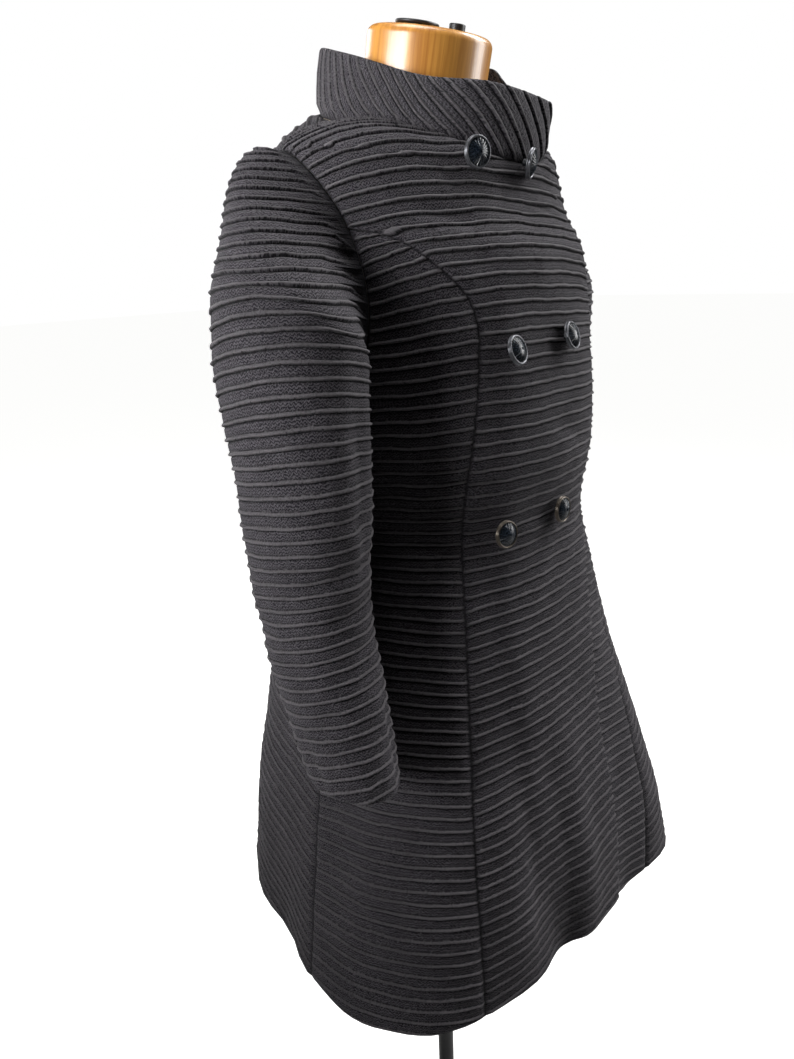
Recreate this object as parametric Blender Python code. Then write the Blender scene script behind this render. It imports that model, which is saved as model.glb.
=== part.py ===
"""Double-breasted A-line coat of ribbed cloth on a limbless dress form.

Metres, +Z up. The origin lies under the stand's base, on the pole's axis. The coat's
front faces -Y and the wearer's left is +X. An azimuth is measured about the pole from
the front: 0 is the centre front, +90 the wearer's left side, -90 the right side and
180 the centre back. A level names a ring of the coat's body by its height at the side:
lower rings are flat, and the ones over the shoulders dip at the front and rise at the
back, up to the neck seam.
"""

import math

import bpy
from mathutils import Quaternion, Vector

# Cloth
WALL = 0.0025            # coat cloth and its interlining
GAP = 0.0003             # between two pieces at a seam
LAP_CLEARANCE = 0.0008   # between the two fronts where they lie over each other

# Levels of the body, in metres above the floor at the side
HEM_LEVEL = 0.710
UNDERARM_LEVEL = 1.328
PRINCESS_TOP_LEVEL = 1.480
SHOULDER_LEVEL = 1.548
NECK_LEVEL = 1.577

# Rings of the body's inside, from the hem to the neck seam. front_dip and back_rise move
# a ring's centre front down and its centre back up; front and back are its depths from
# the pole's axis, and aside moves the whole ring to the wearer's left.
RING_COLUMNS = ("level", "front_dip", "back_rise", "half_width", "front", "back", "aside", "power")
BODY_RINGS = (
    (0.710, 0.000, 0.000, 0.272, 0.244, 0.196, 0.000, 2.80),
    (0.800, 0.000, 0.000, 0.256, 0.236, 0.186, 0.000, 2.75),
    (0.880, 0.000, 0.000, 0.240, 0.220, 0.176, 0.000, 2.70),
    (0.960, 0.000, 0.000, 0.218, 0.202, 0.162, 0.000, 2.60),
    (1.040, 0.000, 0.000, 0.197, 0.186, 0.150, 0.000, 2.50),
    (1.120, 0.000, 0.000, 0.174, 0.172, 0.140, 0.000, 2.45),
    (1.190, 0.000, 0.000, 0.161, 0.161, 0.130, 0.000, 2.40),
    (1.260, 0.000, 0.000, 0.168, 0.169, 0.132, 0.000, 2.40),
    (1.320, 0.000, 0.000, 0.173, 0.166, 0.134, 0.000, 2.40),
    (1.400, 0.000, 0.000, 0.175, 0.158, 0.134, 0.000, 2.35),
    (1.460, 0.008, 0.004, 0.177, 0.150, 0.132, 0.000, 2.20),
    (1.490, 0.015, 0.008, 0.177, 0.134, 0.130, 0.000, 2.10),
    (1.520, 0.026, 0.014, 0.176, 0.122, 0.127, 0.000, 2.05),
    (1.546, 0.036, 0.020, 0.168, 0.117, 0.122, 0.001, 2.05),
    (1.563, 0.041, 0.026, 0.146, 0.117, 0.117, 0.003, 2.15),
    (1.572, 0.043, 0.030, 0.117, 0.117, 0.112, 0.005, 2.35),
    (1.577, 0.044, 0.032, 0.090, 0.117, 0.107, 0.006, 2.55),
)

# Soft folds that hang from the hips to the hem: azimuth of the ridge, its half width in
# degrees, how far it stands out at the hem, and the level where it begins
FOLD_COLUMNS = ("azimuth", "half_width", "depth", "top_level")
HEM_FOLDS = (
    (-64.0, 26.0, 0.021, 1.060),
    (-46.0, 18.0, 0.012, 1.020),
    (-100.0, 20.0, -0.024, 1.040),
    (-118.0, 18.0, -0.020, 1.040),
    (-16.0, 12.0, -0.014, 0.980),
    (33.0, 20.0, 0.026, 1.060),
    (66.0, 20.0, 0.018, 1.060),
    (98.0, 18.0, -0.014, 1.040),
    (124.0, 16.0, 0.008, 1.040),
    (146.0, 14.0, -0.006, 1.040),
    (170.0, 20.0, 0.008, 1.040),
)

# Seams on the wearer's right side. The left side mirrors them about the middle, and below
# the waist about the centre front, which wanders because the right front is pulled over.
SEAM_COLUMNS = ("level", "azimuth")
CENTRE_FRONT = (
    (0.710, -9.0),
    (0.960, -6.5),
    (1.200, -6.0),
    (1.400, -4.5),
    (1.577, -5.5),
)
PRINCESS_SEAM = (
    (0.710, -41.0),
    (0.890, -41.3),
    (1.070, -39.9),
    (1.170, -39.5),
    (1.230, -38.6),
    (1.327, -34.5),
    (1.380, -33.3),
    (1.404, -34.6),
    (1.424, -37.9),
    (1.446, -45.0),
    (1.465, -53.5),
    (1.474, -60.0),
)
SIDE_SEAM = (
    (0.710, -80.5),
    (0.900, -82.0),
    (1.100, -85.0),
    (1.328, -86.0),
)
PULL_TOP_LEVEL = 1.200   # where the pull begins
PULL_HEIGHT = 0.350      # below which it is whole
PULL_START_AZIMUTH = -100.0
PULL_TURN = 60.0         # it grows from the side to the front
SEAM_SLOPE_LIMIT = 6.0   # the most that a slanting seam's gap is widened in level rows
SHOULDER_TIP_AZIMUTH = -100.0
SHOULDER_NECK_AZIMUTH = -118.0

# Armhole: an oval on the body's side, leaning back towards the shoulder
UNDERARM_AZIMUTH = -86.0
ARMHOLE_FRONT_REACH = 26.5
ARMHOLE_BACK_REACH = 19.0
ARMHOLE_STEPS = 22       # points around it

# Double-breasted front: how far each front edge lies beyond the centre front
EDGE_COLUMNS = ("level", "right_front", "left_front")
FRONT_EDGES = (
    (0.710, 0.077, 0.056),
    (0.820, 0.074, 0.056),
    (0.955, 0.066, 0.054),
    (1.080, 0.080, 0.052),
    (1.200, 0.094, 0.050),
    (1.400, 0.097, 0.048),
    (1.520, 0.085, 0.048),
    (1.577, 0.067, 0.050),
)
LAP_RAMP = 0.020         # over which the right front rises onto the left one
LAP_EDGE = 0.003         # from the ramp's top to the left front's hidden edge

PRINCESS_TIP_CUT = 0.004  # below the armhole, where the side front ends in a point

# Counts of rows and columns in the faceted cloth
SKIRT_ROWS = 11
SHOULDER_ROWS = 3
OPEN_COLUMNS = 6         # of a front outside the lap
LAP_COLUMNS = 7          # where the two fronts lie over each other
SIDE_COLUMNS = 4
BACK_COLUMNS = 16

# Sleeve of the wearer's right side, below its cap: centre of each ring, its half sizes
# across (out from the body) and along (front to back), and how far the ring's inner
# side lies below its outer side
SLEEVE_COLUMNS = ("height", "out", "forward", "half_across", "half_along", "slant")
SLEEVE_RINGS = (
    (0.988, 0.2530, 0.1140, 0.0375, 0.0450, 0.010),
    (1.030, 0.2505, 0.1000, 0.0400, 0.0500, 0.008),
    (1.075, 0.2485, 0.0840, 0.0430, 0.0550, 0.004),
    (1.115, 0.2460, 0.0700, 0.0450, 0.0565, 0.002),
    (1.170, 0.2440, 0.0610, 0.0470, 0.0590, 0.004),
    (1.230, 0.2430, 0.0605, 0.0500, 0.0640, 0.010),
    (1.275, 0.2425, 0.0590, 0.0520, 0.0675, 0.020),
    (1.340, 0.2395, 0.0515, 0.0555, 0.0735, 0.045),
    (1.390, 0.2350, 0.0500, 0.0560, 0.0735, 0.080),
)
SLEEVE_ROWS = 9
CAP_ROWS = 6
CAP_PUFF = 0.026         # how far the cap stands out between the armhole and the first ring
CAP_PUFF_TURN = -30.0    # where round the armhole it stands out most, towards the back
CAP_PUFF_WAY = (-0.60, 0.30, 0.75)
CAP_PUFF_SHAPE = 9.48    # brings the highest point of the puff's curve to 1
CAP_REACH_TOP = 0.150    # how strongly the cap runs on outwards from the shoulder
CAP_REACH_UNDER = 0.030
CAP_FALL = 0.120         # how strongly it arrives downwards at the first ring
CAP_LEAN = 0.25          # how much the cap turns inwards as it leaves the underarm
LEFT_SLEEVE_BACK = 0.090  # how much further back the left cuff hangs, hidden in the photo
LEFT_CAP_SHARE = 0.68    # the part of that already at the cap
LEFT_BACK_DROP = 0.200   # below the cap, where the rest is reached

# Stand collar: radius and height of its top edge, all round from the centre back
COLLAR_COLUMNS = ("azimuth", "radius", "height")
COLLAR_TOP = (
    (-180.0, 0.104, 1.663),
    (-150.0, 0.098, 1.659),
    (-115.0, 0.083, 1.643),
    (-81.0, 0.076, 1.626),
    (-43.0, 0.089, 1.606),
    (-17.0, 0.106, 1.600),
    (10.0, 0.115, 1.594),
    (32.0, 0.126, 1.591),
    (55.0, 0.111, 1.602),
    (68.0, 0.103, 1.622),
    (79.0, 0.099, 1.641),
    (92.0, 0.097, 1.643),
    (125.0, 0.094, 1.648),
    (150.0, 0.099, 1.658),
    (180.0, 0.104, 1.663),
)
COLLAR_BOW = 0.002       # how far its middle stands out
COLLAR_ROWS = 4

# Shank buttons
BUTTON_RADIUS = 0.0140
# Row and side, height, place to the wearer's left of the middle, how far the button is
# turned to the wearer's left and tipped up from the cloth in degrees, and clearance
BUTTON_COLUMNS = ("name", "height", "aside", "turn", "tip", "clearance")
BUTTONS = (
    ("button_1_right", 1.536, -0.060, 0.0, -24.0, 0.0013),
    ("button_1_left", 1.534, 0.001, 26.0, -20.0, 0.0026),
    ("button_2_right", 1.367, -0.068, 19.0, 12.0, 0.0018),
    ("button_2_left", 1.373, 0.013, 6.0, 10.0, 0.0012),
    ("button_3_right", 1.195, -0.076, 12.0, 6.0, 0.0038),
    ("button_3_left", 1.202, 0.003, 2.0, 6.0, 0.0024),
)
BUTTON_SEGMENTS = 20
# Radius and height above the cloth of the button's outline, as shares of its radius
BUTTON_OUTLINE = (
    (0.28, 0.00),
    (0.28, 0.34),
    (0.86, 0.34),
    (1.00, 0.44),
    (1.00, 0.56),
    (0.90, 0.65),
    (0.80, 0.60),
    (0.55, 0.72),
    (0.28, 0.80),
)

# Dress form
FORM_COLUMNS = ("level", "clearance")
FORM_CLEARANCES = (
    (1.040, 0.030),
    (1.120, 0.018),
    (1.190, 0.013),
    (1.320, 0.013),
    (1.460, 0.010),
    (1.530, 0.006),
    (1.556, 0.0035),
    (1.5755, 0.0035),
)
FORM_SEGMENTS = 44
FORM_LOWER_ROWS = 12     # up to the chest
FORM_CHEST_LEVEL = 1.460
FORM_UPPER_ROWS = 10     # over the shoulders, closer together
NECK_RADIUS = 0.0615
NECK_CENTRE = (-0.002, -0.002, 1.588)
NECK_LENGTH = 0.073
NECK_TILT = math.radians(12.5)
NECK_ROUNDING = 0.008
CAP_CENTRE = (-0.010, 0.010)   # on the block's top, from its middle
CAP_OUTLINE_COLUMNS = ("radius", "height")
CAP_OUTLINE = (
    (0.008, 0.000),
    (0.008, 0.004),
    (0.022, 0.004),
    (0.022, 0.007),
)
KNOB_CENTRE = (0.017, -0.018)
KNOB_RADIUS = 0.008
KNOB_HEIGHT = 0.010
POLE_RADIUS = 0.0115
BASE_RADIUS = 0.165
BASE_HEIGHT = 0.022
BASE_ROUNDING = 0.006
TURN_SEGMENTS = 32

CLOTH_COLOUR = (0.035, 0.034, 0.040, 1.0)
BUTTON_COLOUR = (0.015, 0.017, 0.030, 1.0)
LINEN_COLOUR = (0.62, 0.56, 0.46, 1.0)
WOOD_COLOUR = (0.56, 0.27, 0.06, 1.0)
METAL_COLOUR = (0.02, 0.02, 0.022, 1.0)


def clear_scene():
    """Remove every object that the scene starts with."""
    for item in list(bpy.data.objects):
        bpy.data.objects.remove(item, do_unlink=True)


def material(name, colour, roughness, metallic):
    """A Principled material of one colour."""
    made = bpy.data.materials.new(name)
    made.use_nodes = True
    shader = made.node_tree.nodes["Principled BSDF"]
    shader.inputs["Base Color"].default_value = colour
    shader.inputs["Roughness"].default_value = roughness
    shader.inputs["Metallic"].default_value = metallic
    return made


def add_mesh(name, points, faces, made):
    """A named object from points and faces, shaded smooth up to 40 degrees."""
    mesh = bpy.data.meshes.new(name)
    mesh.from_pydata([tuple(point) for point in points], [], faces)
    mesh.validate()
    mesh.materials.append(made)
    mesh.shade_smooth()
    mesh.set_sharp_from_angle(angle=math.radians(40.0))
    item = bpy.data.objects.new(name, mesh)
    bpy.context.scene.collection.objects.link(item)
    return item


def smooth_row(table, key):
    """The table's columns after the first at a key in its first column, on smooth curves."""
    keys = [row[0] for row in table]
    last = len(keys) - 1
    key = min(max(key, keys[0]), keys[last])
    low = 0
    while low < last - 1 and key > keys[low + 1]:
        low += 1
    span = keys[low + 1] - keys[low]
    share = (key - keys[low]) / span
    values = []
    for column in range(1, len(table[0])):
        start = table[low][column]
        end = table[low + 1][column]
        slope_in = (end - start) / span
        slope_out = slope_in
        if low > 0:
            slope_in = (end - table[low - 1][column]) / (keys[low + 1] - keys[low - 1])
        if low + 2 <= last:
            slope_out = (table[low + 2][column] - start) / (keys[low + 2] - keys[low])
        square = share * share
        cube = square * share
        values.append(
            start * (2.0 * cube - 3.0 * square + 1.0)
            + end * (3.0 * square - 2.0 * cube)
            + span * slope_in * (cube - 2.0 * square + share)
            + span * slope_out * (cube - square)
        )
    return values


def smooth_step(value):
    """0 below 0, 1 above 1 and a soft rise between."""
    value = min(max(value, 0.0), 1.0)
    return value * value * (3.0 - 2.0 * value)


def fold_offset(azimuth, level):
    """How far the hanging folds move the cloth out at a place."""
    offset = 0.0
    for ridge, half_width, depth, top_level in HEM_FOLDS:
        away = (azimuth - ridge + 180.0) % 360.0 - 180.0
        if abs(away) < half_width and level < top_level:
            across = 0.5 + 0.5 * math.cos(math.pi * away / half_width)
            down = (top_level - level) / (top_level - HEM_LEVEL)
            offset += depth * across * down ** 1.3
    return offset


def ring_point(azimuth, level):
    """A point of the body's inside surface."""
    dip, rise, half_width, front, back, aside, power = smooth_row(BODY_RINGS, level)
    side = math.sin(math.radians(azimuth))
    ahead = math.cos(math.radians(azimuth))
    depth = front if ahead > 0.0 else back
    reach = (abs(side) / half_width) ** power + (abs(ahead) / depth) ** power
    radius = reach ** (-1.0 / power) + fold_offset(azimuth, level)
    height = level - dip * ahead * ahead if ahead > 0.0 else level + rise * ahead * ahead
    return Vector((aside + radius * side, -radius * ahead, height))


def ring_normal(azimuth, level):
    """The body surface's outward normal, from its neighbours."""
    turn = 0.5
    step = 0.002
    across = ring_point(azimuth + turn, level) - ring_point(azimuth - turn, level)
    up = ring_point(azimuth, level + step) - ring_point(azimuth, level - step)
    return across.cross(up).normalized()


def body_point(azimuth, level, lift=0.0):
    """A point at a height above the body's inside surface."""
    return ring_point(azimuth, level) + lift * ring_normal(azimuth, level)


def azimuth_at(offset, level):
    """The azimuth near the centre front whose point lies at a sideways offset."""
    low = -80.0
    high = 80.0
    for _ in range(40):
        middle = 0.5 * (low + high)
        if ring_point(middle, level).x < offset:
            low = middle
        else:
            high = middle
    return 0.5 * (low + high)


def armhole_place(turn):
    """Azimuth and level on the right armhole; turn is 0 at the shoulder, 90 in front."""
    middle = 0.5 * (SHOULDER_LEVEL + UNDERARM_LEVEL)
    half = 0.5 * (SHOULDER_LEVEL - UNDERARM_LEVEL)
    upward = math.cos(math.radians(turn))
    forward = math.sin(math.radians(turn))
    share = 0.5 + 0.5 * upward
    centre = UNDERARM_AZIMUTH + (SHOULDER_TIP_AZIMUTH - UNDERARM_AZIMUTH) * share
    reach = ARMHOLE_FRONT_REACH if forward > 0.0 else ARMHOLE_BACK_REACH
    return centre + reach * forward, middle + half * upward


def armhole_azimuth(level, side):
    """Azimuth of the right armhole at a level; side is 1 in front and -1 behind."""
    middle = 0.5 * (SHOULDER_LEVEL + UNDERARM_LEVEL)
    half = 0.5 * (SHOULDER_LEVEL - UNDERARM_LEVEL)
    upward = min(max((level - middle) / half, -1.0), 1.0)
    return armhole_place(side * math.degrees(math.acos(upward)))[0]


def shoulder_azimuth(level):
    """Azimuth of the right shoulder seam, from the armhole to the neck."""
    share = (level - SHOULDER_LEVEL) / (NECK_LEVEL - SHOULDER_LEVEL)
    return SHOULDER_TIP_AZIMUTH + (SHOULDER_NECK_AZIMUTH - SHOULDER_TIP_AZIMUTH) * share


def body_levels():
    """The rows that all the body's pieces share, from the hem to the neck."""
    rise = UNDERARM_LEVEL - HEM_LEVEL
    levels = [HEM_LEVEL + rise * row / SKIRT_ROWS for row in range(SKIRT_ROWS)]
    step = 360.0 / ARMHOLE_STEPS
    levels += [armhole_place(180.0 - step * row)[1] for row in range(ARMHOLE_STEPS // 2 + 1)]
    rise = NECK_LEVEL - SHOULDER_LEVEL
    levels += [SHOULDER_LEVEL + rise * (row + 1) / SHOULDER_ROWS for row in range(SHOULDER_ROWS)]
    levels[-1] -= GAP
    return sorted(levels + [PRINCESS_TOP_LEVEL - PRINCESS_TIP_CUT])


def princess_azimuth(level):
    """Azimuth of the right princess seam, which ends on the armhole."""
    end = armhole_azimuth(PRINCESS_TOP_LEVEL, 1)
    table = PRINCESS_SEAM + ((PRINCESS_TOP_LEVEL, end),)
    return smooth_row(table, level)[0]


def side_azimuth(level):
    """Azimuth of the right side seam."""
    return smooth_row(SIDE_SEAM, level)[0]


def front_outer(level):
    """Outer limit of the right front: princess seam, armhole, then shoulder seam."""
    if level <= PRINCESS_TOP_LEVEL:
        return princess_azimuth(level)
    if level < SHOULDER_LEVEL:
        return armhole_azimuth(level, 1)
    return shoulder_azimuth(level)


def side_outer(level):
    """Rear limit of the right side front: side seam, then the armhole's front."""
    if level <= UNDERARM_LEVEL:
        return side_azimuth(level)
    return armhole_azimuth(level, 1)


def back_outer(level):
    """Limit of the back on the right: side seam, armhole's rear, then shoulder seam."""
    if level <= UNDERARM_LEVEL:
        return side_azimuth(level)
    if level < SHOULDER_LEVEL:
        return armhole_azimuth(level, -1)
    return shoulder_azimuth(level)


def seam_inset(level, limit):
    """Half a seam's gap as an angle, measured square to the seam's own direction."""
    step = 0.001
    radius = abs(ring_point(-90.0, level).x)
    low = max(level - step, HEM_LEVEL)
    high = min(level + step, NECK_LEVEL)
    slope = radius * math.radians(limit(high) - limit(low)) / (high - low)
    return math.degrees(0.5 * GAP / radius) * min(math.hypot(1.0, slope), SEAM_SLOPE_LIMIT)


def across(level, azimuth):
    """The azimuth on the wearer's left that answers one on the right."""
    centre = smooth_row(CENTRE_FRONT, level)[0]
    down = smooth_step((PULL_TOP_LEVEL - level) / PULL_HEIGHT)
    pulled = down * smooth_step((azimuth - PULL_START_AZIMUTH) / PULL_TURN)
    return -azimuth + 2.0 * centre * pulled


def centre_offset(level):
    """Sideways place of the centre front."""
    return ring_point(smooth_row(CENTRE_FRONT, level)[0], level).x


def right_edge(level):
    """Azimuth of the right front's edge, on the wearer's left."""
    return azimuth_at(centre_offset(level) + smooth_row(FRONT_EDGES, level)[0], level)


def left_edge(level):
    """Azimuth of the left front's hidden edge, on the wearer's right."""
    return azimuth_at(centre_offset(level) - smooth_row(FRONT_EDGES, level)[1], level)


def ramp_places(level):
    """Azimuths where the right front begins and ends its rise onto the left front."""
    hidden = centre_offset(level) - smooth_row(FRONT_EDGES, level)[1] - LAP_EDGE
    return azimuth_at(hidden - LAP_RAMP, level), azimuth_at(hidden, level)


def lap_lift(azimuth, level):
    """How far the right front stands off the body to lie on the left front."""
    start, end = ramp_places(level)
    return (WALL + LAP_CLEARANCE) * smooth_step((azimuth - start) / (end - start))


def spread(first, last, spans):
    """Evenly spaced values from the first to the last."""
    return [first + (last - first) * number / spans for number in range(spans + 1)]


def front_right_places(level):
    """Columns of the right front, from its outer limit to its edge."""
    start, end = ramp_places(level)
    first = front_outer(level) + seam_inset(level, front_outer)
    return (
        spread(first, start, OPEN_COLUMNS - 1)
        + [end]
        + spread(left_edge(level), right_edge(level), LAP_COLUMNS)
    )


def front_left_places(level):
    """Columns of the left front, from its hidden edge to its outer limit."""
    last = across(level, front_outer(level)) - seam_inset(level, front_outer)
    lap = spread(left_edge(level), right_edge(level), LAP_COLUMNS)
    return lap + spread(right_edge(level), last, OPEN_COLUMNS)[1:]


def between(start, end, spans):
    """Columns of a piece between two limits that change with the level."""
    def places(level):
        first = start(level) + seam_inset(level, start)
        last = end(level) - seam_inset(level, end)
        return spread(first, last, spans)
    return places


def wall_between(inner, outer, closed):
    """Points and faces of a cloth wall from two grids of points, inside and outside."""
    rows = len(inner)
    columns = len(inner[0])
    points = [point for row in inner for point in row]
    points += [point for row in outer for point in row]
    away = rows * columns
    faces = []
    spans = columns if closed else columns - 1
    for row in range(rows - 1):
        for column in range(spans):
            right = (column + 1) % columns
            lower = (row * columns + column, row * columns + right)
            upper = ((row + 1) * columns + column, (row + 1) * columns + right)
            faces.append((away + lower[0], away + lower[1], away + upper[1], away + upper[0]))
            faces.append((lower[0], upper[0], upper[1], lower[1]))
    for column in range(spans):
        right = (column + 1) % columns
        top = (rows - 1) * columns
        faces.append((column, right, away + right, away + column))
        faces.append((top + right, top + column, away + top + column, away + top + right))
    if not closed:
        for row in range(rows - 1):
            here = row * columns
            there = here + columns
            faces.append((there, here, away + here, away + there))
            here += columns - 1
            there += columns - 1
            faces.append((here, there, away + there, away + here))
    return points, faces


def back_places(level):
    """Columns of the back, from the wearer's left round to the right."""
    places = between(
        lambda height: across(height, back_outer(height)),
        lambda height: 360.0 + back_outer(height), BACK_COLUMNS)
    return places(level)


def panel(name, levels, places, made, lift=None):
    """A piece of the body with a row of azimuths for each level."""
    inner = []
    outer = []
    for level in levels:
        inner_row = []
        outer_row = []
        for azimuth in places(level):
            base = lift(azimuth, level) if lift else 0.0
            inner_row.append(body_point(azimuth, level, base))
            outer_row.append(body_point(azimuth, level, base + WALL))
        inner.append(inner_row)
        outer.append(outer_row)
    points, faces = wall_between(inner, outer, False)
    return add_mesh(name, points, faces, made)


def make_body(made):
    """Fronts, side fronts and back of the coat."""
    levels = body_levels()
    side_levels = [level for level in levels if level < PRINCESS_TOP_LEVEL]
    panel("front_right", levels, front_right_places, made, lap_lift)
    panel("front_left", levels, front_left_places, made)
    panel("side_right", side_levels, between(side_outer, princess_azimuth, SIDE_COLUMNS), made)
    panel("side_left", side_levels, between(
        lambda level: across(level, princess_azimuth(level)),
        lambda level: across(level, side_outer(level)), SIDE_COLUMNS), made)
    panel("back", levels, back_places, made)


def sleeve_ring(height, back):
    """Points of a sleeve ring below the cap, in the order of the armhole's turns."""
    out, forward, half_across, half_along, slant = smooth_row(SLEEVE_RINGS, height)
    down = smooth_step((SLEEVE_RINGS[-1][0] - height) / LEFT_BACK_DROP)
    forward -= back * (LEFT_CAP_SHARE + (1.0 - LEFT_CAP_SHARE) * down)
    points = []
    for step in range(ARMHOLE_STEPS):
        turn = 2.0 * math.pi * step / ARMHOLE_STEPS
        across = math.cos(turn)
        along = math.sin(turn)
        points.append(Vector((
            -(out + half_across * across),
            -(forward + half_along * along),
            height + 0.5 * slant * across,
        )))
    return points


def flipped(point, side):
    """The point, or its mirror image when side is negative."""
    return Vector((side * point.x, point.y, point.z))


def sleeve_grid(side):
    """Middle surface of a sleeve as a right one; side is -1 for the one to be mirrored."""
    back = LEFT_SLEEVE_BACK if side < 0.0 else 0.0
    step = 360.0 / ARMHOLE_STEPS
    first_height = SLEEVE_RINGS[-1][0]
    last_height = SLEEVE_RINGS[0][0]
    first_ring = sleeve_ring(first_height, back)
    next_ring = sleeve_ring(first_height - 0.01, back)
    middle = 0.5 * (SHOULDER_LEVEL + UNDERARM_LEVEL)
    starts = []
    leaves = []
    for number in range(ARMHOLE_STEPS):
        turn = step * number
        azimuth, level = armhole_place(turn)
        normal = flipped(ring_normal(side * azimuth, level), side)
        point = flipped(body_point(side * azimuth, level, 0.5 * WALL), side)
        centre = side * 0.5 * (SHOULDER_TIP_AZIMUTH + UNDERARM_AZIMUTH)
        centre = flipped(body_point(centre, middle, 0.5 * WALL), side)
        inward = (centre - point) - (centre - point).dot(normal) * normal
        inward.normalize()
        starts.append(point + GAP * inward)
        upward = 0.5 + 0.5 * math.cos(math.radians(turn))
        blend = upward * inward + (1.0 - upward) * (normal + CAP_LEAN * inward)
        reach = CAP_REACH_UNDER + (CAP_REACH_TOP - CAP_REACH_UNDER) * upward
        leaves.append(blend.normalized() * reach)
    rows = []
    for row in range(CAP_ROWS + 1):
        share = row / CAP_ROWS
        square = share * share
        cube = square * share
        ring = []
        for number in range(ARMHOLE_STEPS):
            upward = 0.5 + 0.5 * math.cos(math.radians(step * number))
            fall = (next_ring[number] - first_ring[number]).normalized()
            fall *= CAP_REACH_UNDER + (CAP_FALL - CAP_REACH_UNDER) * upward
            away = math.radians(step * number - CAP_PUFF_TURN)
            puff = CAP_PUFF * CAP_PUFF_SHAPE * share * (1.0 - share) ** 3
            puff *= (0.5 + 0.5 * math.cos(away)) ** 1.5
            ring.append(
                starts[number] * (2.0 * cube - 3.0 * square + 1.0)
                + puff * Vector(CAP_PUFF_WAY).normalized()
                + first_ring[number] * (3.0 * square - 2.0 * cube)
                + leaves[number] * (cube - 2.0 * square + share)
                + fall * (cube - square)
            )
        rows.append(ring)
    for row in range(1, SLEEVE_ROWS + 1):
        share = row / SLEEVE_ROWS
        rows.append(sleeve_ring(first_height + (last_height - first_height) * share, back))
    return rows


def make_sleeve(name, side, made):
    """A sleeve: its middle surface moved half a wall in and out; side is -1 on the left."""
    rows = sleeve_grid(side)
    count = ARMHOLE_STEPS
    inner = []
    outer = []
    for row, ring in enumerate(rows):
        inner_row = []
        outer_row = []
        for number, point in enumerate(ring):
            if row == 0:
                azimuth, level = armhole_place(360.0 * number / count)
                normal = flipped(ring_normal(side * azimuth, level), side)
            else:
                below = rows[min(row + 1, len(rows) - 1)][number]
                above = rows[row - 1][number]
                around = ring[(number + 1) % count] - ring[number - 1]
                normal = around.cross(above - below).normalized()
            inner_row.append(flipped(point - 0.5 * WALL * normal, side))
            outer_row.append(flipped(point + 0.5 * WALL * normal, side))
        inner.append(inner_row)
        outer.append(outer_row)
    points, faces = wall_between(inner, outer, True)
    if side > 0.0:
        faces = [tuple(reversed(face)) for face in faces]
    return add_mesh(name, points, faces, made)


def collar_row(azimuth, lift):
    """Inside and outside points of the collar at an azimuth, from the neck seam up."""
    normal = ring_normal(azimuth, NECK_LEVEL - GAP)
    foot = ring_point(azimuth, NECK_LEVEL) + lift * normal + Vector((0.0, 0.0, GAP))
    edge = foot + WALL * normal
    radius, height = smooth_row(COLLAR_TOP, (azimuth + 180.0) % 360.0 - 180.0)
    side = math.sin(math.radians(azimuth))
    ahead = math.cos(math.radians(azimuth))
    outward = Vector((side, -ahead, 0.0))
    top = (radius + lift) * outward + Vector((0.0, 0.0, height))
    inner = [foot]
    outer = [edge]
    for share in spread(0.0, 1.0, COLLAR_ROWS)[1:]:
        bow = COLLAR_BOW * math.sin(math.pi * share)
        point = foot + (top - foot) * share + bow * outward
        inner.append(point)
        outer.append(point + WALL * outward)
    return inner, outer


def make_collar(made):
    """The stand collar: one band on the panels' columns, its right end over its left."""
    level = NECK_LEVEL - GAP
    over = WALL + LAP_CLEARANCE
    places = [(azimuth, 0.0) for azimuth in front_left_places(level)]
    places += [(azimuth, 0.0) for azimuth in back_places(level)[1:-1]]
    right = [360.0 + azimuth for azimuth in front_right_places(level)]
    places += [(azimuth, 0.0) for azimuth in right[:OPEN_COLUMNS]]
    places += [(azimuth, over) for azimuth in right[OPEN_COLUMNS:]]
    sides = [collar_row(azimuth, lift) for azimuth, lift in places]
    inner = [[side[0][row] for side in sides] for row in range(COLLAR_ROWS + 1)]
    outer = [[side[1][row] for side in sides] for row in range(COLLAR_ROWS + 1)]
    points, faces = wall_between(inner, outer, False)
    return add_mesh("collar", points, faces, made)


def turned(name, outline, segments, made, place=None):
    """A body turned about Z from (radius, height) pairs, lowest first, ends closed."""
    points = []
    for radius, height in outline:
        for number in range(segments):
            turn = 2.0 * math.pi * number / segments
            points.append(Vector((radius * math.cos(turn), radius * math.sin(turn), height)))
    faces = [tuple(reversed(range(segments)))]
    for row in range(len(outline) - 1):
        for number in range(segments):
            right = (number + 1) % segments
            low = row * segments
            high = low + segments
            faces.append((low + number, low + right, high + right, high + number))
    last = (len(outline) - 1) * segments
    faces.append(tuple(range(last, last + segments)))
    if place:
        points = [place(point) for point in points]
    return add_mesh(name, points, faces, made)


def level_at_height(azimuth, height):
    """The level whose ring passes a height at an azimuth."""
    low = HEM_LEVEL
    high = NECK_LEVEL
    for _ in range(40):
        middle = 0.5 * (low + high)
        if ring_point(azimuth, middle).z < height:
            low = middle
        else:
            high = middle
    return 0.5 * (low + high)


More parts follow.
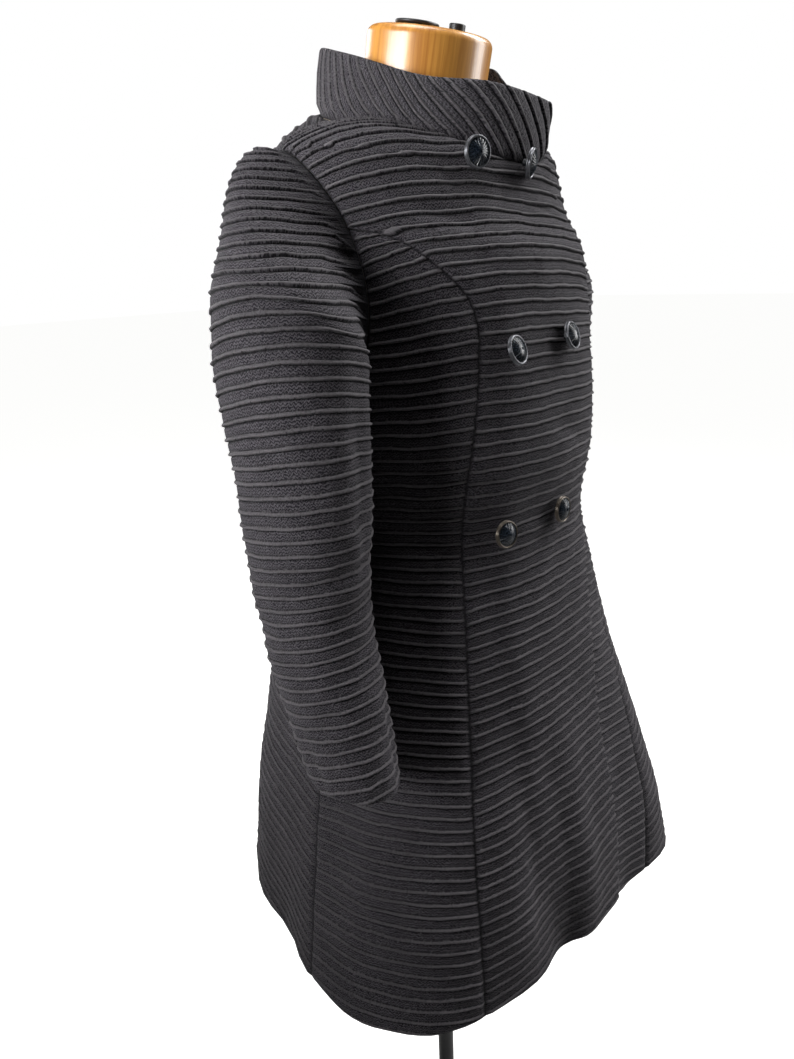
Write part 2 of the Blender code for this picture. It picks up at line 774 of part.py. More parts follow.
def make_buttons(made):
    """Three rows of two shank buttons on the right front."""
    outline = [(radius * BUTTON_RADIUS, height * BUTTON_RADIUS) for radius, height in BUTTON_OUTLINE]
    for name, height, aside, turn, tip, clearance in BUTTONS:
        level = height
        for _ in range(6):
            azimuth = azimuth_at(aside, level)
            level = level_at_height(azimuth, height)
        normal = ring_normal(azimuth, level)
        lift = lap_lift(azimuth, level) + WALL + clearance
        seat = body_point(azimuth, level, lift)
        flat = Vector((normal.x, normal.y, 0.0)).normalized()
        aside_way = Vector((-flat.y, flat.x, 0.0))
        normal.rotate(Quaternion(aside_way, -math.radians(tip)))
        normal.rotate(Quaternion((0.0, 0.0, 1.0), math.radians(turn)))
        way = normal.to_track_quat("Z", "Y")
        turned(name, outline, BUTTON_SEGMENTS, made, lambda point: seat + way @ point)


def rounded_outline(radius, height, rounding, steps=4):
    """(radius, height) pairs of an upright cylinder with a rounded top edge."""
    outline = [(radius, 0.0)]
    for step in range(steps + 1):
        turn = 0.5 * math.pi * step / steps
        outline.append((
            radius - rounding + rounding * math.cos(turn),
            height - rounding + rounding * math.sin(turn),
        ))
    return outline


def neck_place(point):
    """A point of the neck block's own frame, tilted forward in its place."""
    tilt = Quaternion((1.0, 0.0, 0.0), NECK_TILT)
    return Vector(NECK_CENTRE) + tilt @ point


def make_torso(made):
    """The limbless torso: rings inside the coat, then the neck up to the wooden block."""
    levels = spread(FORM_CLEARANCES[0][0], FORM_CHEST_LEVEL, FORM_LOWER_ROWS)
    levels += spread(FORM_CHEST_LEVEL, FORM_CLEARANCES[-1][0], FORM_UPPER_ROWS)[1:]
    points = []
    for level in levels:
        clearance = smooth_row(FORM_CLEARANCES, level)[0]
        for azimuth in spread(0.0, 360.0, FORM_SEGMENTS)[:-1]:
            points.append(body_point(azimuth, level, -clearance))
    for point in points[:FORM_SEGMENTS]:
        point.z = FORM_CLEARANCES[0][0]
    for azimuth in spread(0.0, 360.0, FORM_SEGMENTS)[:-1]:
        turn = math.radians(azimuth)
        rim = NECK_RADIUS * Vector((math.sin(turn), -math.cos(turn), 0.0))
        points.append(neck_place(rim + Vector((0.0, 0.0, -GAP))))
    rows = len(levels)
    faces = [tuple(reversed(range(FORM_SEGMENTS)))]
    for row in range(rows):
        for number in range(FORM_SEGMENTS):
            right = (number + 1) % FORM_SEGMENTS
            low = row * FORM_SEGMENTS
            high = low + FORM_SEGMENTS
            faces.append((low + number, low + right, high + right, high + number))
    last = rows * FORM_SEGMENTS
    faces.append(tuple(range(last, last + FORM_SEGMENTS)))
    add_mesh("form_torso", points, faces, made)


def make_neck(wood, metal):
    """The wooden neck block with its dark cap and knob."""
    outline = rounded_outline(NECK_RADIUS, NECK_LENGTH, NECK_ROUNDING)
    turned("neck_block", outline, TURN_SEGMENTS, wood, neck_place)
    cap = Vector((*CAP_CENTRE, NECK_LENGTH + GAP))
    turned("neck_cap", CAP_OUTLINE, TURN_SEGMENTS // 2, metal,
           lambda point: neck_place(cap + point))
    knob = Vector((*KNOB_CENTRE, NECK_LENGTH + GAP))
    outline = [(KNOB_RADIUS, 0.0), (KNOB_RADIUS, KNOB_HEIGHT)]
    turned("neck_knob", outline, TURN_SEGMENTS // 2, metal,
           lambda point: neck_place(knob + point))


def make_stand(made):
    """Pole and round base."""
    outline = rounded_outline(BASE_RADIUS, BASE_HEIGHT, BASE_ROUNDING)
    turned("stand_base", outline, TURN_SEGMENTS, made)
    length = FORM_CLEARANCES[0][0] - BASE_HEIGHT - 2.0 * GAP
    foot = Vector((0.0, 0.0, BASE_HEIGHT + GAP))
    outline = [(POLE_RADIUS, 0.0), (POLE_RADIUS, length)]
    turned("stand_pole", outline, TURN_SEGMENTS // 2, made, lambda point: foot + point)


def main():
    """Build every piece."""
    clear_scene()
    cloth = material("ribbed_cloth", CLOTH_COLOUR, 0.85, 0.0)
    button = material("button", BUTTON_COLOUR, 0.3, 0.2)
    linen = material("form_linen", LINEN_COLOUR, 0.9, 0.0)
    wood = material("varnished_wood", WOOD_COLOUR, 0.25, 0.0)
    metal = material("dark_metal", METAL_COLOUR, 0.4, 0.8)
    make_body(cloth)
    make_sleeve("sleeve_right", 1.0, cloth)
    make_sleeve("sleeve_left", -1.0, cloth)
    make_collar(cloth)
    make_buttons(button)
    make_torso(linen)
    make_neck(wood, metal)
    make_stand(metal)


main()
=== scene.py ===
"""Looks of the double-breasted coat on its limbless dress form.

Metres, +Z up, the coat's front to -Y and the wearer's left to +X. The coat's panels,
sleeves and collar are thin closed shells on the forms of their CAD solids. Each one is
laid flat once, as it would be cut, so that its ribs run straight across its cut and
meet at an angle at the seams, and its rows of faces follow those ribs.
"""

import logging
import math
from collections.abc import Callable
from dataclasses import dataclass
from enum import Enum

import bmesh
import bpy
import numpy as np
from bpy.types import ID, Material, Mesh, Node, NodeSocket, NodeTree, Object
from mathutils import Matrix, Quaternion, Vector


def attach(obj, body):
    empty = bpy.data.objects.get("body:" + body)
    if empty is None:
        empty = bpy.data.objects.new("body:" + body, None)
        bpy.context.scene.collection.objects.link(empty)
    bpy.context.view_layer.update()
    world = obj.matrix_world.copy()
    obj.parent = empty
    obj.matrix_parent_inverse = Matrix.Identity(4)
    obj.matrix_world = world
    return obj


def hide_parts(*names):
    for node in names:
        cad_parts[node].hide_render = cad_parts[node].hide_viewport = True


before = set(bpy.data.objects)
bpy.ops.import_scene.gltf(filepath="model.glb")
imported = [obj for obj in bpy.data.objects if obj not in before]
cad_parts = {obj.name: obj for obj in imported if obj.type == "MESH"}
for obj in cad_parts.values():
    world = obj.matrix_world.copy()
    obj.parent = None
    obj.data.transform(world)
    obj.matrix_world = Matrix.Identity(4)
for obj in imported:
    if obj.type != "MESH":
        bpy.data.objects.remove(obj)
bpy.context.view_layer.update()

log = logging.getLogger("coat")

Array = np.ndarray
Pair = tuple[float, float]
Colour = tuple[float, float, float, float]
Outline = list[Pair]
Limit = Callable[[Array], Array]

WALL = 0.0025            # coat cloth and its interlining
GAP = 0.0003             # between two pieces at a seam
LAP_CLEARANCE = 0.0008   # between the two fronts
NECK_TILT = math.radians(12.5)   # of the form's neck block, forward
UP = np.array((0.0, 0.0, 1.0))
HALVINGS = 40            # steps of a search by halves
TINY_RISE = 1e-6         # keeps keys rising where a curve stands still
SMALLEST_AREA = 1e-12    # of a face, in square metres
COTANGENTS = (0.02, 20.0)   # least and greatest weight of an edge in a flat cut
CLOSE_MARGIN = 1.3       # room for the close lines at a piece's side, in widths of theirs

# Share, waves along, waves over and seed's part of each wave of the fixed wobble
WOBBLE_WAVES = ((0.45, 61.0, 37.0, 1.7), (0.33, 143.0, -89.0, 2.9), (0.22, 317.0, 211.0, 4.3))


class Slot(Enum):
    """Names of the pieces' finishes."""

    CLOTH = "ribbed_cloth"
    BUTTON = "button"
    LINEN = "form_linen"
    WOOD = "varnished_wood"
    METAL = "dark_metal"


class Edge(Enum):
    """How a panel ends on one side."""

    SEAM = "sewn to its neighbour"
    FREE = "turned and pressed"
    HIDDEN = "flat under another piece"


def smooth_step(value: Array) -> Array:
    """0 below 0, 1 above 1 and a soft rise between."""
    value = np.clip(value, 0.0, 1.0)
    return value * value * (3.0 - 2.0 * value)


def bell(value: Array) -> Array:
    """1 at 0 and a soft fall to 0 at 1 and beyond."""
    return 0.5 + 0.5 * np.cos(np.pi * np.clip(np.abs(value), 0.0, 1.0))


def uneven(along: Array, over: Array, seed: float) -> Array:
    """A fixed smooth wobble between about -1 and 1 over a surface in metres."""
    return sum(share * np.sin(by_along * along + by_over * over + by_seed * seed)
               for share, by_along, by_over, by_seed in WOBBLE_WAVES)


def unit(vectors: Array) -> Array:
    """The vectors brought to length 1."""
    return vectors / np.linalg.norm(vectors, axis=-1, keepdims=True)


def lengths(points: Array) -> Array:
    """Distances along a chain of points, from its start."""
    steps = np.linalg.norm(np.diff(points, axis=0), axis=-1)
    return np.concatenate(((0.0,), steps.cumsum()))


def wrapped(azimuth: Array) -> Array:
    """The same azimuths between -180 and 180."""
    return np.mod(azimuth + 180.0, 360.0) - 180.0


def sine_cosine(turn: Array) -> tuple[Array, Array]:
    """Sine and cosine of turns in degrees."""
    return np.sin(np.radians(turn)), np.cos(np.radians(turn))


def cubic(share: Array) -> tuple[Array, Array, Array, Array]:
    """How much of its start, end, start slope and end slope a span has at the shares."""
    square = share * share
    cube = square * share
    return (2.0 * cube - 3.0 * square + 1.0, 3.0 * square - 2.0 * cube,
            cube - 2.0 * square + share, cube - square)


class Curve:
    """Smooth curves through the rows of a table, read at keys of its first column."""

    def __init__(self, keys: Array, values: Array) -> None:
        """Keep the table and the slopes at its rows.

        Args:
            keys: Rising keys.
            values: A row of values for each key.
        """
        self.keys = np.asarray(keys, dtype=float)
        self.values = np.asarray(values, dtype=float)
        steps = np.diff(self.keys)[:, None]
        rises = np.diff(self.values, axis=0) / steps
        self.slopes = np.empty_like(self.values)
        self.slopes[0] = rises[0]
        self.slopes[-1] = rises[-1]
        wide = (self.keys[2:] - self.keys[:-2])[:, None]
        self.slopes[1:-1] = (self.values[2:] - self.values[:-2]) / wide

    @classmethod
    def of(cls, rows: tuple[tuple[float, ...], ...]) -> "Curve":
        """Curves from a table whose first column holds the keys."""
        table = np.array(rows, dtype=float)
        return cls(table[:, 0], table[:, 1:])

    def __call__(self, key: Array) -> Array:
        """Values at the keys, with the table's columns on the last axis."""
        key = np.clip(np.asarray(key, dtype=float), self.keys[0], self.keys[-1])
        low = np.searchsorted(self.keys, key, side="right") - 1
        low = np.clip(low, 0, len(self.keys) - 2)
        span = (self.keys[low + 1] - self.keys[low])[..., None]
        share = (key - self.keys[low])[..., None] / span
        start, end, leave, arrive = cubic(share)
        return (self.values[low] * start + self.values[low + 1] * end
                + span * self.slopes[low] * leave + span * self.slopes[low + 1] * arrive)


@dataclass(frozen=True)
class Crease:
    """A soft trough or ridge between two places on a piece.

    The first coordinate is an azimuth or a turn in degrees, the second a height or level.
    """

    start: Pair
    end: Pair
    half_width: float
    depth: float
    metres_per_degree: float
    end_depth: float = 0.35
    middle_depth: float = 0.65

    @classmethod
    def rows(cls, *rows: tuple[float, ...], metres_per_degree: float = 0.0028,
             ) -> tuple["Crease", ...]:
        """Creases from rows that hold start, end, half width and depth."""
        return tuple(cls(row[:2], row[2:4], *row[4:], metres_per_degree) for row in rows)

    def offset(self, turn: Array, height: Array) -> Array:
        """How far the crease moves the cloth out at the places."""
        scale = np.array((self.metres_per_degree, 1.0))
        start = np.array(self.start) * scale
        way = np.array(self.end) * scale - start
        length = np.linalg.norm(way)
        away_x = turn * scale[0] - start[0]
        away_y = height - start[1]
        along = np.clip((away_x * way[0] + away_y * way[1]) / length**2, 0.0, 1.0)
        off = np.hypot(away_x - along * way[0], away_y - along * way[1])
        fade = self.end_depth + self.middle_depth * np.sin(np.pi * along)
        return self.depth * fade * bell(off / self.half_width)


@dataclass(frozen=True)
class RibbedWool:
    """Size and section of the ribs that run across the cloth."""

    pitch: float = 0.0124
    # how much the ribs' height varies along them
    swell: float = 0.24
    swell_seed: float = 3.0
    nudge: float = 1e-9
    # how far ribs stray from their rows, and how the lines differ
    wobble: float = 0.00085
    wobble_seed: float = 5.0
    line_step: float = 0.006
    row_margin: float = 0.0004
    # seams: depth, half width, share of the ribs' height that is lost, half width of the painted
    # shade
    seam_sink: float = 0.0017
    seam_reach: float = 0.0032
    seam_loss: float = 0.8
    seam_shade: float = 0.0016
    # turned edges: width and depth of the rounding, ribs' height at the edge and its rise
    edge_round: float = 0.0016
    edge_sink: float = 0.0009
    edge_height: float = 0.45
    edge_rise: float = 0.55
    edge_reach: float = 0.003
    hidden_reach: float = 0.010
    # Place in the repeat, from the foot of a rib upwards, and height over the wall
    section: tuple[Pair, ...] = (
        (0.000, -0.00105), (0.026, 0.00035), (0.060, 0.00135), (0.110, 0.00185),
        (0.160, 0.00182), (0.210, 0.00142), (0.260, 0.00078), (0.300, 0.00020),
        (0.335, -0.00012), (0.400, 0.00012), (0.640, 0.00025), (0.865, 0.00012),
        (0.955, -0.00060),
    )

    def rows(self, low: float, high: float) -> Array:
        """Places across the ribs where the mesh has its rows."""
        first = math.floor(low / self.pitch) - 1
        last = math.ceil(high / self.pitch) + 1
        shares = np.array([place for place, _ in self.section])
        repeats = np.arange(first, last + 1)[:, None]
        return ((repeats + shares[None, :]) * self.pitch).ravel()

    def relief(self, along: Array, over: Array) -> Array:
        """Height of the ribs over the wall; over runs across them."""
        table = np.array(self.section + ((1.0, self.section[0][1]),))
        place = np.mod(over / self.pitch + self.nudge, 1.0)
        height = np.interp(place, table[:, 0], table[:, 1])
        number = np.floor(over / self.pitch + self.nudge)
        swell = 1.0 + self.swell * uneven(along, number, self.swell_seed)
        return np.where(height > 0.0, height * swell, height)

    def at_edge(self, edge: Edge, height: Array, away: Array) -> Array:
        """The height near an edge that lies some way off."""
        away = np.maximum(away, 0.0)
        if edge is Edge.SEAM:
            close = np.exp(-((away / self.seam_reach) ** 2))
            return height * (1.0 - self.seam_loss * close) - self.seam_sink * close
        if edge is Edge.FREE:
            near = np.clip(1.0 - away / self.edge_round, 0.0, 1.0)
            kept = self.edge_height + self.edge_rise * smooth_step(away / self.edge_reach)
            return height * kept - self.edge_sink * near**2
        return height * smooth_step(away / self.hidden_reach)

    def shade(self, *sides: tuple[Edge, Array]) -> Array:
        """1 in a seam and 0 away from every seam: where shade is painted into the cloth's colour.
        """
        shade = np.zeros(len(sides[0][1]))
        for edge, away in sides:
            if edge is Edge.SEAM:
                close = np.exp(-((np.maximum(away, 0.0) / self.seam_shade) ** 2))
                shade = np.maximum(shade, close)
        return shade


WOOL = RibbedWool()


@dataclass(frozen=True)
class BodyForm:
    """The coat's body as rings, and the seams and edges on it.

    A level names a ring by its height at the side. Azimuths run from the centre front,
    +90 on the wearer's left.
    """

    hem: float = 0.710
    underarm: float = 1.328
    princess_top: float = 1.480
    shoulder: float = 1.548
    neck: float = 1.577
    tip_azimuth: float = -100.0
    neck_azimuth: float = -118.0
    underarm_azimuth: float = -86.0
    front_reach: float = 26.5
    back_reach: float = 19.0
    pull_top: float = 1.200
    pull_height: float = 0.350
    pull_start: float = -100.0
    pull_turn: float = 60.0
    # degrees and metres to either side of a place whose normal is sought
    normal_steps: Pair = (0.5, 0.002)
    slope_step: float = 0.001
    slope_limit: float = 6.0
    search_reach: float = 80.0
    # share of a seam's gap that the looks leave open on either side
    open_share: float = 0.12
    lap_levels: int = 60
    lap_ramp: float = 0.020
    lap_edge: float = 0.003
    fold_power: float = 1.3
    dent_fade: float = 0.020
    # level, front dip, back rise, half width, front, back, aside, power
    rings: Curve = Curve.of((
        (0.710, 0.000, 0.000, 0.272, 0.244, 0.196, 0.000, 2.80),
        (0.800, 0.000, 0.000, 0.256, 0.236, 0.186, 0.000, 2.75),
        (0.880, 0.000, 0.000, 0.240, 0.220, 0.176, 0.000, 2.70),
        (0.960, 0.000, 0.000, 0.218, 0.202, 0.162, 0.000, 2.60),
        (1.040, 0.000, 0.000, 0.197, 0.186, 0.150, 0.000, 2.50),
        (1.120, 0.000, 0.000, 0.174, 0.172, 0.140, 0.000, 2.45),
        (1.190, 0.000, 0.000, 0.161, 0.161, 0.130, 0.000, 2.40),
        (1.260, 0.000, 0.000, 0.168, 0.169, 0.132, 0.000, 2.40),
        (1.320, 0.000, 0.000, 0.173, 0.166, 0.134, 0.000, 2.40),
        (1.400, 0.000, 0.000, 0.175, 0.158, 0.134, 0.000, 2.35),
        (1.460, 0.008, 0.004, 0.177, 0.150, 0.132, 0.000, 2.20),
        (1.490, 0.015, 0.008, 0.177, 0.134, 0.130, 0.000, 2.10),
        (1.520, 0.026, 0.014, 0.176, 0.122, 0.127, 0.000, 2.05),
        (1.546, 0.036, 0.020, 0.168, 0.117, 0.122, 0.001, 2.05),
        (1.563, 0.041, 0.026, 0.146, 0.117, 0.117, 0.003, 2.15),
        (1.572, 0.043, 0.030, 0.117, 0.117, 0.112, 0.005, 2.35),
        (1.577, 0.044, 0.032, 0.090, 0.117, 0.107, 0.006, 2.55),
    ))
    # azimuth of a hanging fold's ridge, half width in degrees, depth at the hem, top level
    folds: tuple[tuple[float, float, float, float], ...] = (
        (-64.0, 26.0, 0.021, 1.060),
        (-46.0, 18.0, 0.012, 1.020),
        (-100.0, 20.0, -0.024, 1.040),
        (-118.0, 18.0, -0.020, 1.040),
        (-16.0, 12.0, -0.014, 0.980),
        (33.0, 20.0, 0.026, 1.060),
        (66.0, 20.0, 0.018, 1.060),
        (98.0, 18.0, -0.014, 1.040),
        (124.0, 16.0, 0.008, 1.040),
        (146.0, 14.0, -0.006, 1.040),
        (170.0, 20.0, 0.008, 1.040),
    )
    centre_front: Curve = Curve.of((
        (0.710, -9.0), (0.960, -6.5), (1.200, -6.0), (1.400, -4.5), (1.577, -5.5),
    ))
    princess_seam: tuple[Pair, ...] = (
        (0.710, -41.0), (0.890, -41.3), (1.070, -39.9), (1.170, -39.5),
        (1.230, -38.6), (1.327, -34.5), (1.380, -33.3), (1.404, -34.6),
        (1.424, -37.9), (1.446, -45.0), (1.465, -53.5), (1.474, -60.0),
    )
    side_seam: Curve = Curve.of((
        (0.710, -80.5), (0.900, -82.0), (1.100, -85.0), (1.328, -86.0),
    ))
    # level, right front's reach beyond the centre front, left front's reach
    front_edges: Curve = Curve.of((
        (0.710, 0.077, 0.056),
        (0.820, 0.074, 0.056),
        (0.955, 0.066, 0.054),
        (1.080, 0.080, 0.052),
        (1.200, 0.094, 0.050),
        (1.400, 0.097, 0.048),
        (1.520, 0.085, 0.048),
        (1.577, 0.067, 0.050),
    ))
    ripple: float = 0.0009
    ripple_seed: float = 8.0
    ripple_places: Pair = (0.17, 0.12)
    creases: tuple[Crease, ...] = Crease.rows(
        (-52.0, 1.502, -30.0, 1.490, 0.016, -0.0034),
        (-46.0, 1.527, -33.0, 1.518, 0.010, 0.0016),
        (-44.0, 1.463, -24.0, 1.452, 0.020, -0.0022),
        (8.0, 1.520, 24.0, 1.500, 0.009, -0.0026),
        (-16.0, 1.505, 8.0, 1.512, 0.014, -0.0018),
        (-63.0, 1.430, -60.0, 1.210, 0.022, -0.0040),
        (-52.0, 1.262, -26.0, 1.240, 0.016, -0.0022),
        (-30.0, 1.198, 4.0, 1.186, 0.012, 0.0018),
        (-56.0, 1.188, -34.0, 1.172, 0.014, -0.0024),
        (-6.0, 1.300, 18.0, 1.270, 0.018, -0.0020),
        (-35.0, 0.930, -31.0, 0.710, 0.026, 0.0050),
        (-24.0, 0.900, -21.0, 0.710, 0.020, -0.0050),
        (-9.0, 0.960, -6.0, 0.710, 0.024, 0.0036),
        (-72.0, 1.020, -76.0, 0.720, 0.030, -0.0050),
        (30.0, 1.497, 50.0, 1.506, 0.016, -0.0030),
        (60.0, 1.430, 58.0, 1.230, 0.022, -0.0038),
        (30.0, 1.246, 54.0, 1.268, 0.016, -0.0024),
        (40.0, 1.180, 62.0, 1.194, 0.014, -0.0022),
        (50.0, 0.950, 48.0, 0.710, 0.028, 0.0046),
        (80.0, 0.990, 84.0, 0.710, 0.026, -0.0050),
        (-128.0, 1.462, -112.0, 1.395, 0.018, -0.0034),
        (126.0, 1.452, 110.0, 1.385, 0.018, -0.0034),
        (-160.0, 1.235, -118.0, 1.212, 0.015, -0.0026),
        (120.0, 1.205, 158.0, 1.228, 0.015, -0.0026),
        (-150.0, 1.535, -128.0, 1.520, 0.014, -0.0022),
        (132.0, 1.522, 154.0, 1.533, 0.014, -0.0022),
        (-150.0, 1.010, -152.0, 0.710, 0.030, 0.0056),
        (150.0, 0.980, 154.0, 0.710, 0.030, 0.0050),
        (-126.0, 0.930, -124.0, 0.710, 0.026, -0.0050),
    )

    def fold_offset(self, azimuth: Array, level: Array) -> Array:
        """How far the hanging folds move the cloth out."""
        offset = np.zeros(np.broadcast(azimuth, level).shape)
        for ridge, half_width, depth, top in self.folds:
            away = wrapped(azimuth - ridge)
            down = np.clip((top - level) / (top - self.hem), 0.0, None) ** self.fold_power
            offset = offset + depth * bell(away / half_width) * down
        return offset

    def point(self, azimuth: Array, level: Array) -> Array:
        """Points of the body's inside surface, without its creases."""
        azimuth, level = np.broadcast_arrays(azimuth, level)
        ring = np.moveaxis(self.rings(level), -1, 0)
        dip, rise, half_width, front, back, aside, power = ring
        side, ahead = sine_cosine(azimuth)
        depth = np.where(ahead > 0.0, front, back)
        reach = (np.abs(side) / half_width) ** power + (np.abs(ahead) / depth) ** power
        radius = reach ** (-1.0 / power) + self.fold_offset(azimuth, level)
        tilt = np.where(ahead > 0.0, -dip, rise) * ahead * ahead
        return np.stack((aside + radius * side, -radius * ahead, level + tilt), axis=-1)

    def normal(self, azimuth: Array, level: Array) -> Array:
        """Outward normals of that surface."""
        turn, step = self.normal_steps
        across = self.point(azimuth + turn, level) - self.point(azimuth - turn, level)
        up = self.point(azimuth, level + step) - self.point(azimuth, level - step)
        return unit(np.cross(across, up))

    def dents(self, azimuth: Array, level: Array) -> Array:
        """How far the worn cloth's creases move it out."""
        turned = wrapped(azimuth)
        side, ahead = sine_cosine(turned)
        across, forward = self.ripple_places
        total = self.ripple * uneven(across * side, level + forward * ahead, self.ripple_seed)
        for crease in self.creases:
            total = total + crease.offset(turned, level)
        return total * smooth_step((self.neck - level) / self.dent_fade)

    def placed(self, azimuth: Array, level: Array, lift: Array) -> Array:
        """Points at a height over the creased surface."""
        height = lift + self.dents(azimuth, level)
        return self.point(azimuth, level) + height[..., None] * self.normal(azimuth, level)

    def azimuth_at(self, offset: Array, level: Array) -> Array:
        """Azimuths near the centre front whose points lie at sideways offsets."""
        offset, level = np.broadcast_arrays(offset, level)
        low = np.full(level.shape, -self.search_reach)
        high = np.full(level.shape, self.search_reach)
        for _ in range(HALVINGS):
            middle = 0.5 * (low + high)
            left = self.point(middle, level)[..., 0] < offset
            low = np.where(left, middle, low)
            high = np.where(left, high, middle)
        return 0.5 * (low + high)

    def level_at_height(self, azimuth: float, height: float) -> float:
        """The level whose ring passes a height at an azimuth."""
        low, high = self.hem, self.neck
        for _ in range(HALVINGS):
            middle = 0.5 * (low + high)
            if self.point(np.array(azimuth), np.array(middle))[2] < height:
                low = middle
            else:
                high = middle
        return 0.5 * (low + high)

    @property
    def armhole_span(self) -> Pair:
        """Level of the armhole's middle, and half its height."""
        return 0.5 * (self.shoulder + self.underarm), 0.5 * (self.shoulder - self.underarm)

    def armhole_place(self, turn: Array) -> tuple[Array, Array]:
        """Azimuth and level on the right armhole; turn is 0 on top and 90 in front."""
        middle, half = self.armhole_span
        forward, upward = sine_cosine(turn)
        share = 0.5 + 0.5 * upward
        centre = self.underarm_azimuth + (self.tip_azimuth - self.underarm_azimuth) * share
        reach = np.where(forward > 0.0, self.front_reach, self.back_reach)
        return centre + reach * forward, middle + half * upward

    def armhole(self, level: Array, side: int) -> Array:
        """Azimuth of the right armhole at a level; side is 1 in front and -1 behind."""
        middle, half = self.armhole_span
        upward = np.clip((level - middle) / half, -1.0, 1.0)
        return self.armhole_place(side * np.degrees(np.arccos(upward)))[0]

    def shoulder_seam(self, level: Array) -> Array:
        """Azimuth of the right shoulder seam."""
        share = (level - self.shoulder) / (self.neck - self.shoulder)
        return self.tip_azimuth + (self.neck_azimuth - self.tip_azimuth) * share

    def princess(self, level: Array) -> Array:
        """Azimuth of the right princess seam."""
        end = float(self.armhole(np.array(self.princess_top), 1))
        return Curve.of(self.princess_seam + ((self.princess_top, end),))(level)[..., 0]

    def front_outer(self, level: Array) -> Array:
        """Outer limit of the right front."""
        upper = np.where(level < self.shoulder, self.armhole(level, 1), self.shoulder_seam(level))
        return np.where(level <= self.princess_top, self.princess(level), upper)

    def side_outer(self, level: Array) -> Array:
        """Rear limit of the right side front."""
        seam = self.side_seam(level)[..., 0]
        return np.where(level <= self.underarm, seam, self.armhole(level, 1))

    def back_outer(self, level: Array) -> Array:
        """Limit of the back on the right."""
        upper = np.where(level < self.shoulder, self.armhole(level, -1), self.shoulder_seam(level))
        return np.where(level <= self.underarm, self.side_seam(level)[..., 0], upper)

    def inset(self, level: Array, limit: Limit) -> Array:
        """What is left of a seam's gap on either side, as an angle square to the seam."""
        step = self.slope_step
        radius = np.abs(self.point(np.array(-90.0), level)[..., 0])
        low = np.maximum(level - step, self.hem)
        high = np.minimum(level + step, self.neck)
        slope = radius * np.radians(limit(high) - limit(low)) / (high - low)
        widened = np.minimum(np.hypot(1.0, slope), self.slope_limit)
        return np.degrees(self.open_share * GAP / radius) * widened

    def across(self, level: Array, azimuth: Array) -> Array:
        """The azimuth on the wearer's left that answers one on the right."""
        centre = self.centre_front(level)[..., 0]
        down = smooth_step((self.pull_top - level) / self.pull_height)
        pulled = down * smooth_step((azimuth - self.pull_start) / self.pull_turn)
        return -azimuth + 2.0 * centre * pulled

    def centre_offset(self, level: Array) -> Array:
        """Sideways place of the centre front."""
        return self.point(self.centre_front(level)[..., 0], level)[..., 0]

    def right_edge(self, level: Array) -> Array:
        """Azimuth of the right front's edge, on the wearer's left."""
        return self.azimuth_at(self.centre_offset(level) + self.front_edges(level)[..., 0], level)

    def left_edge(self, level: Array) -> Array:
        """Azimuth of the left front's hidden edge, on the wearer's right."""
        return self.azimuth_at(self.centre_offset(level) - self.front_edges(level)[..., 1], level)

    def lap_lift(self, azimuth: Array, level: Array) -> Array:
        """How far the right front stands off the body to lie on the left front."""
        levels = np.linspace(self.hem, self.neck, self.lap_levels)
        hidden = self.centre_offset(levels) - self.front_edges(levels)[..., 1] - self.lap_edge
        start = np.interp(level, levels, self.azimuth_at(hidden - self.lap_ramp, levels))
        end = np.interp(level, levels, self.azimuth_at(hidden, levels))
        return (WALL + LAP_CLEARANCE) * smooth_step((azimuth - start) / (end - start))


BODY = BodyForm()


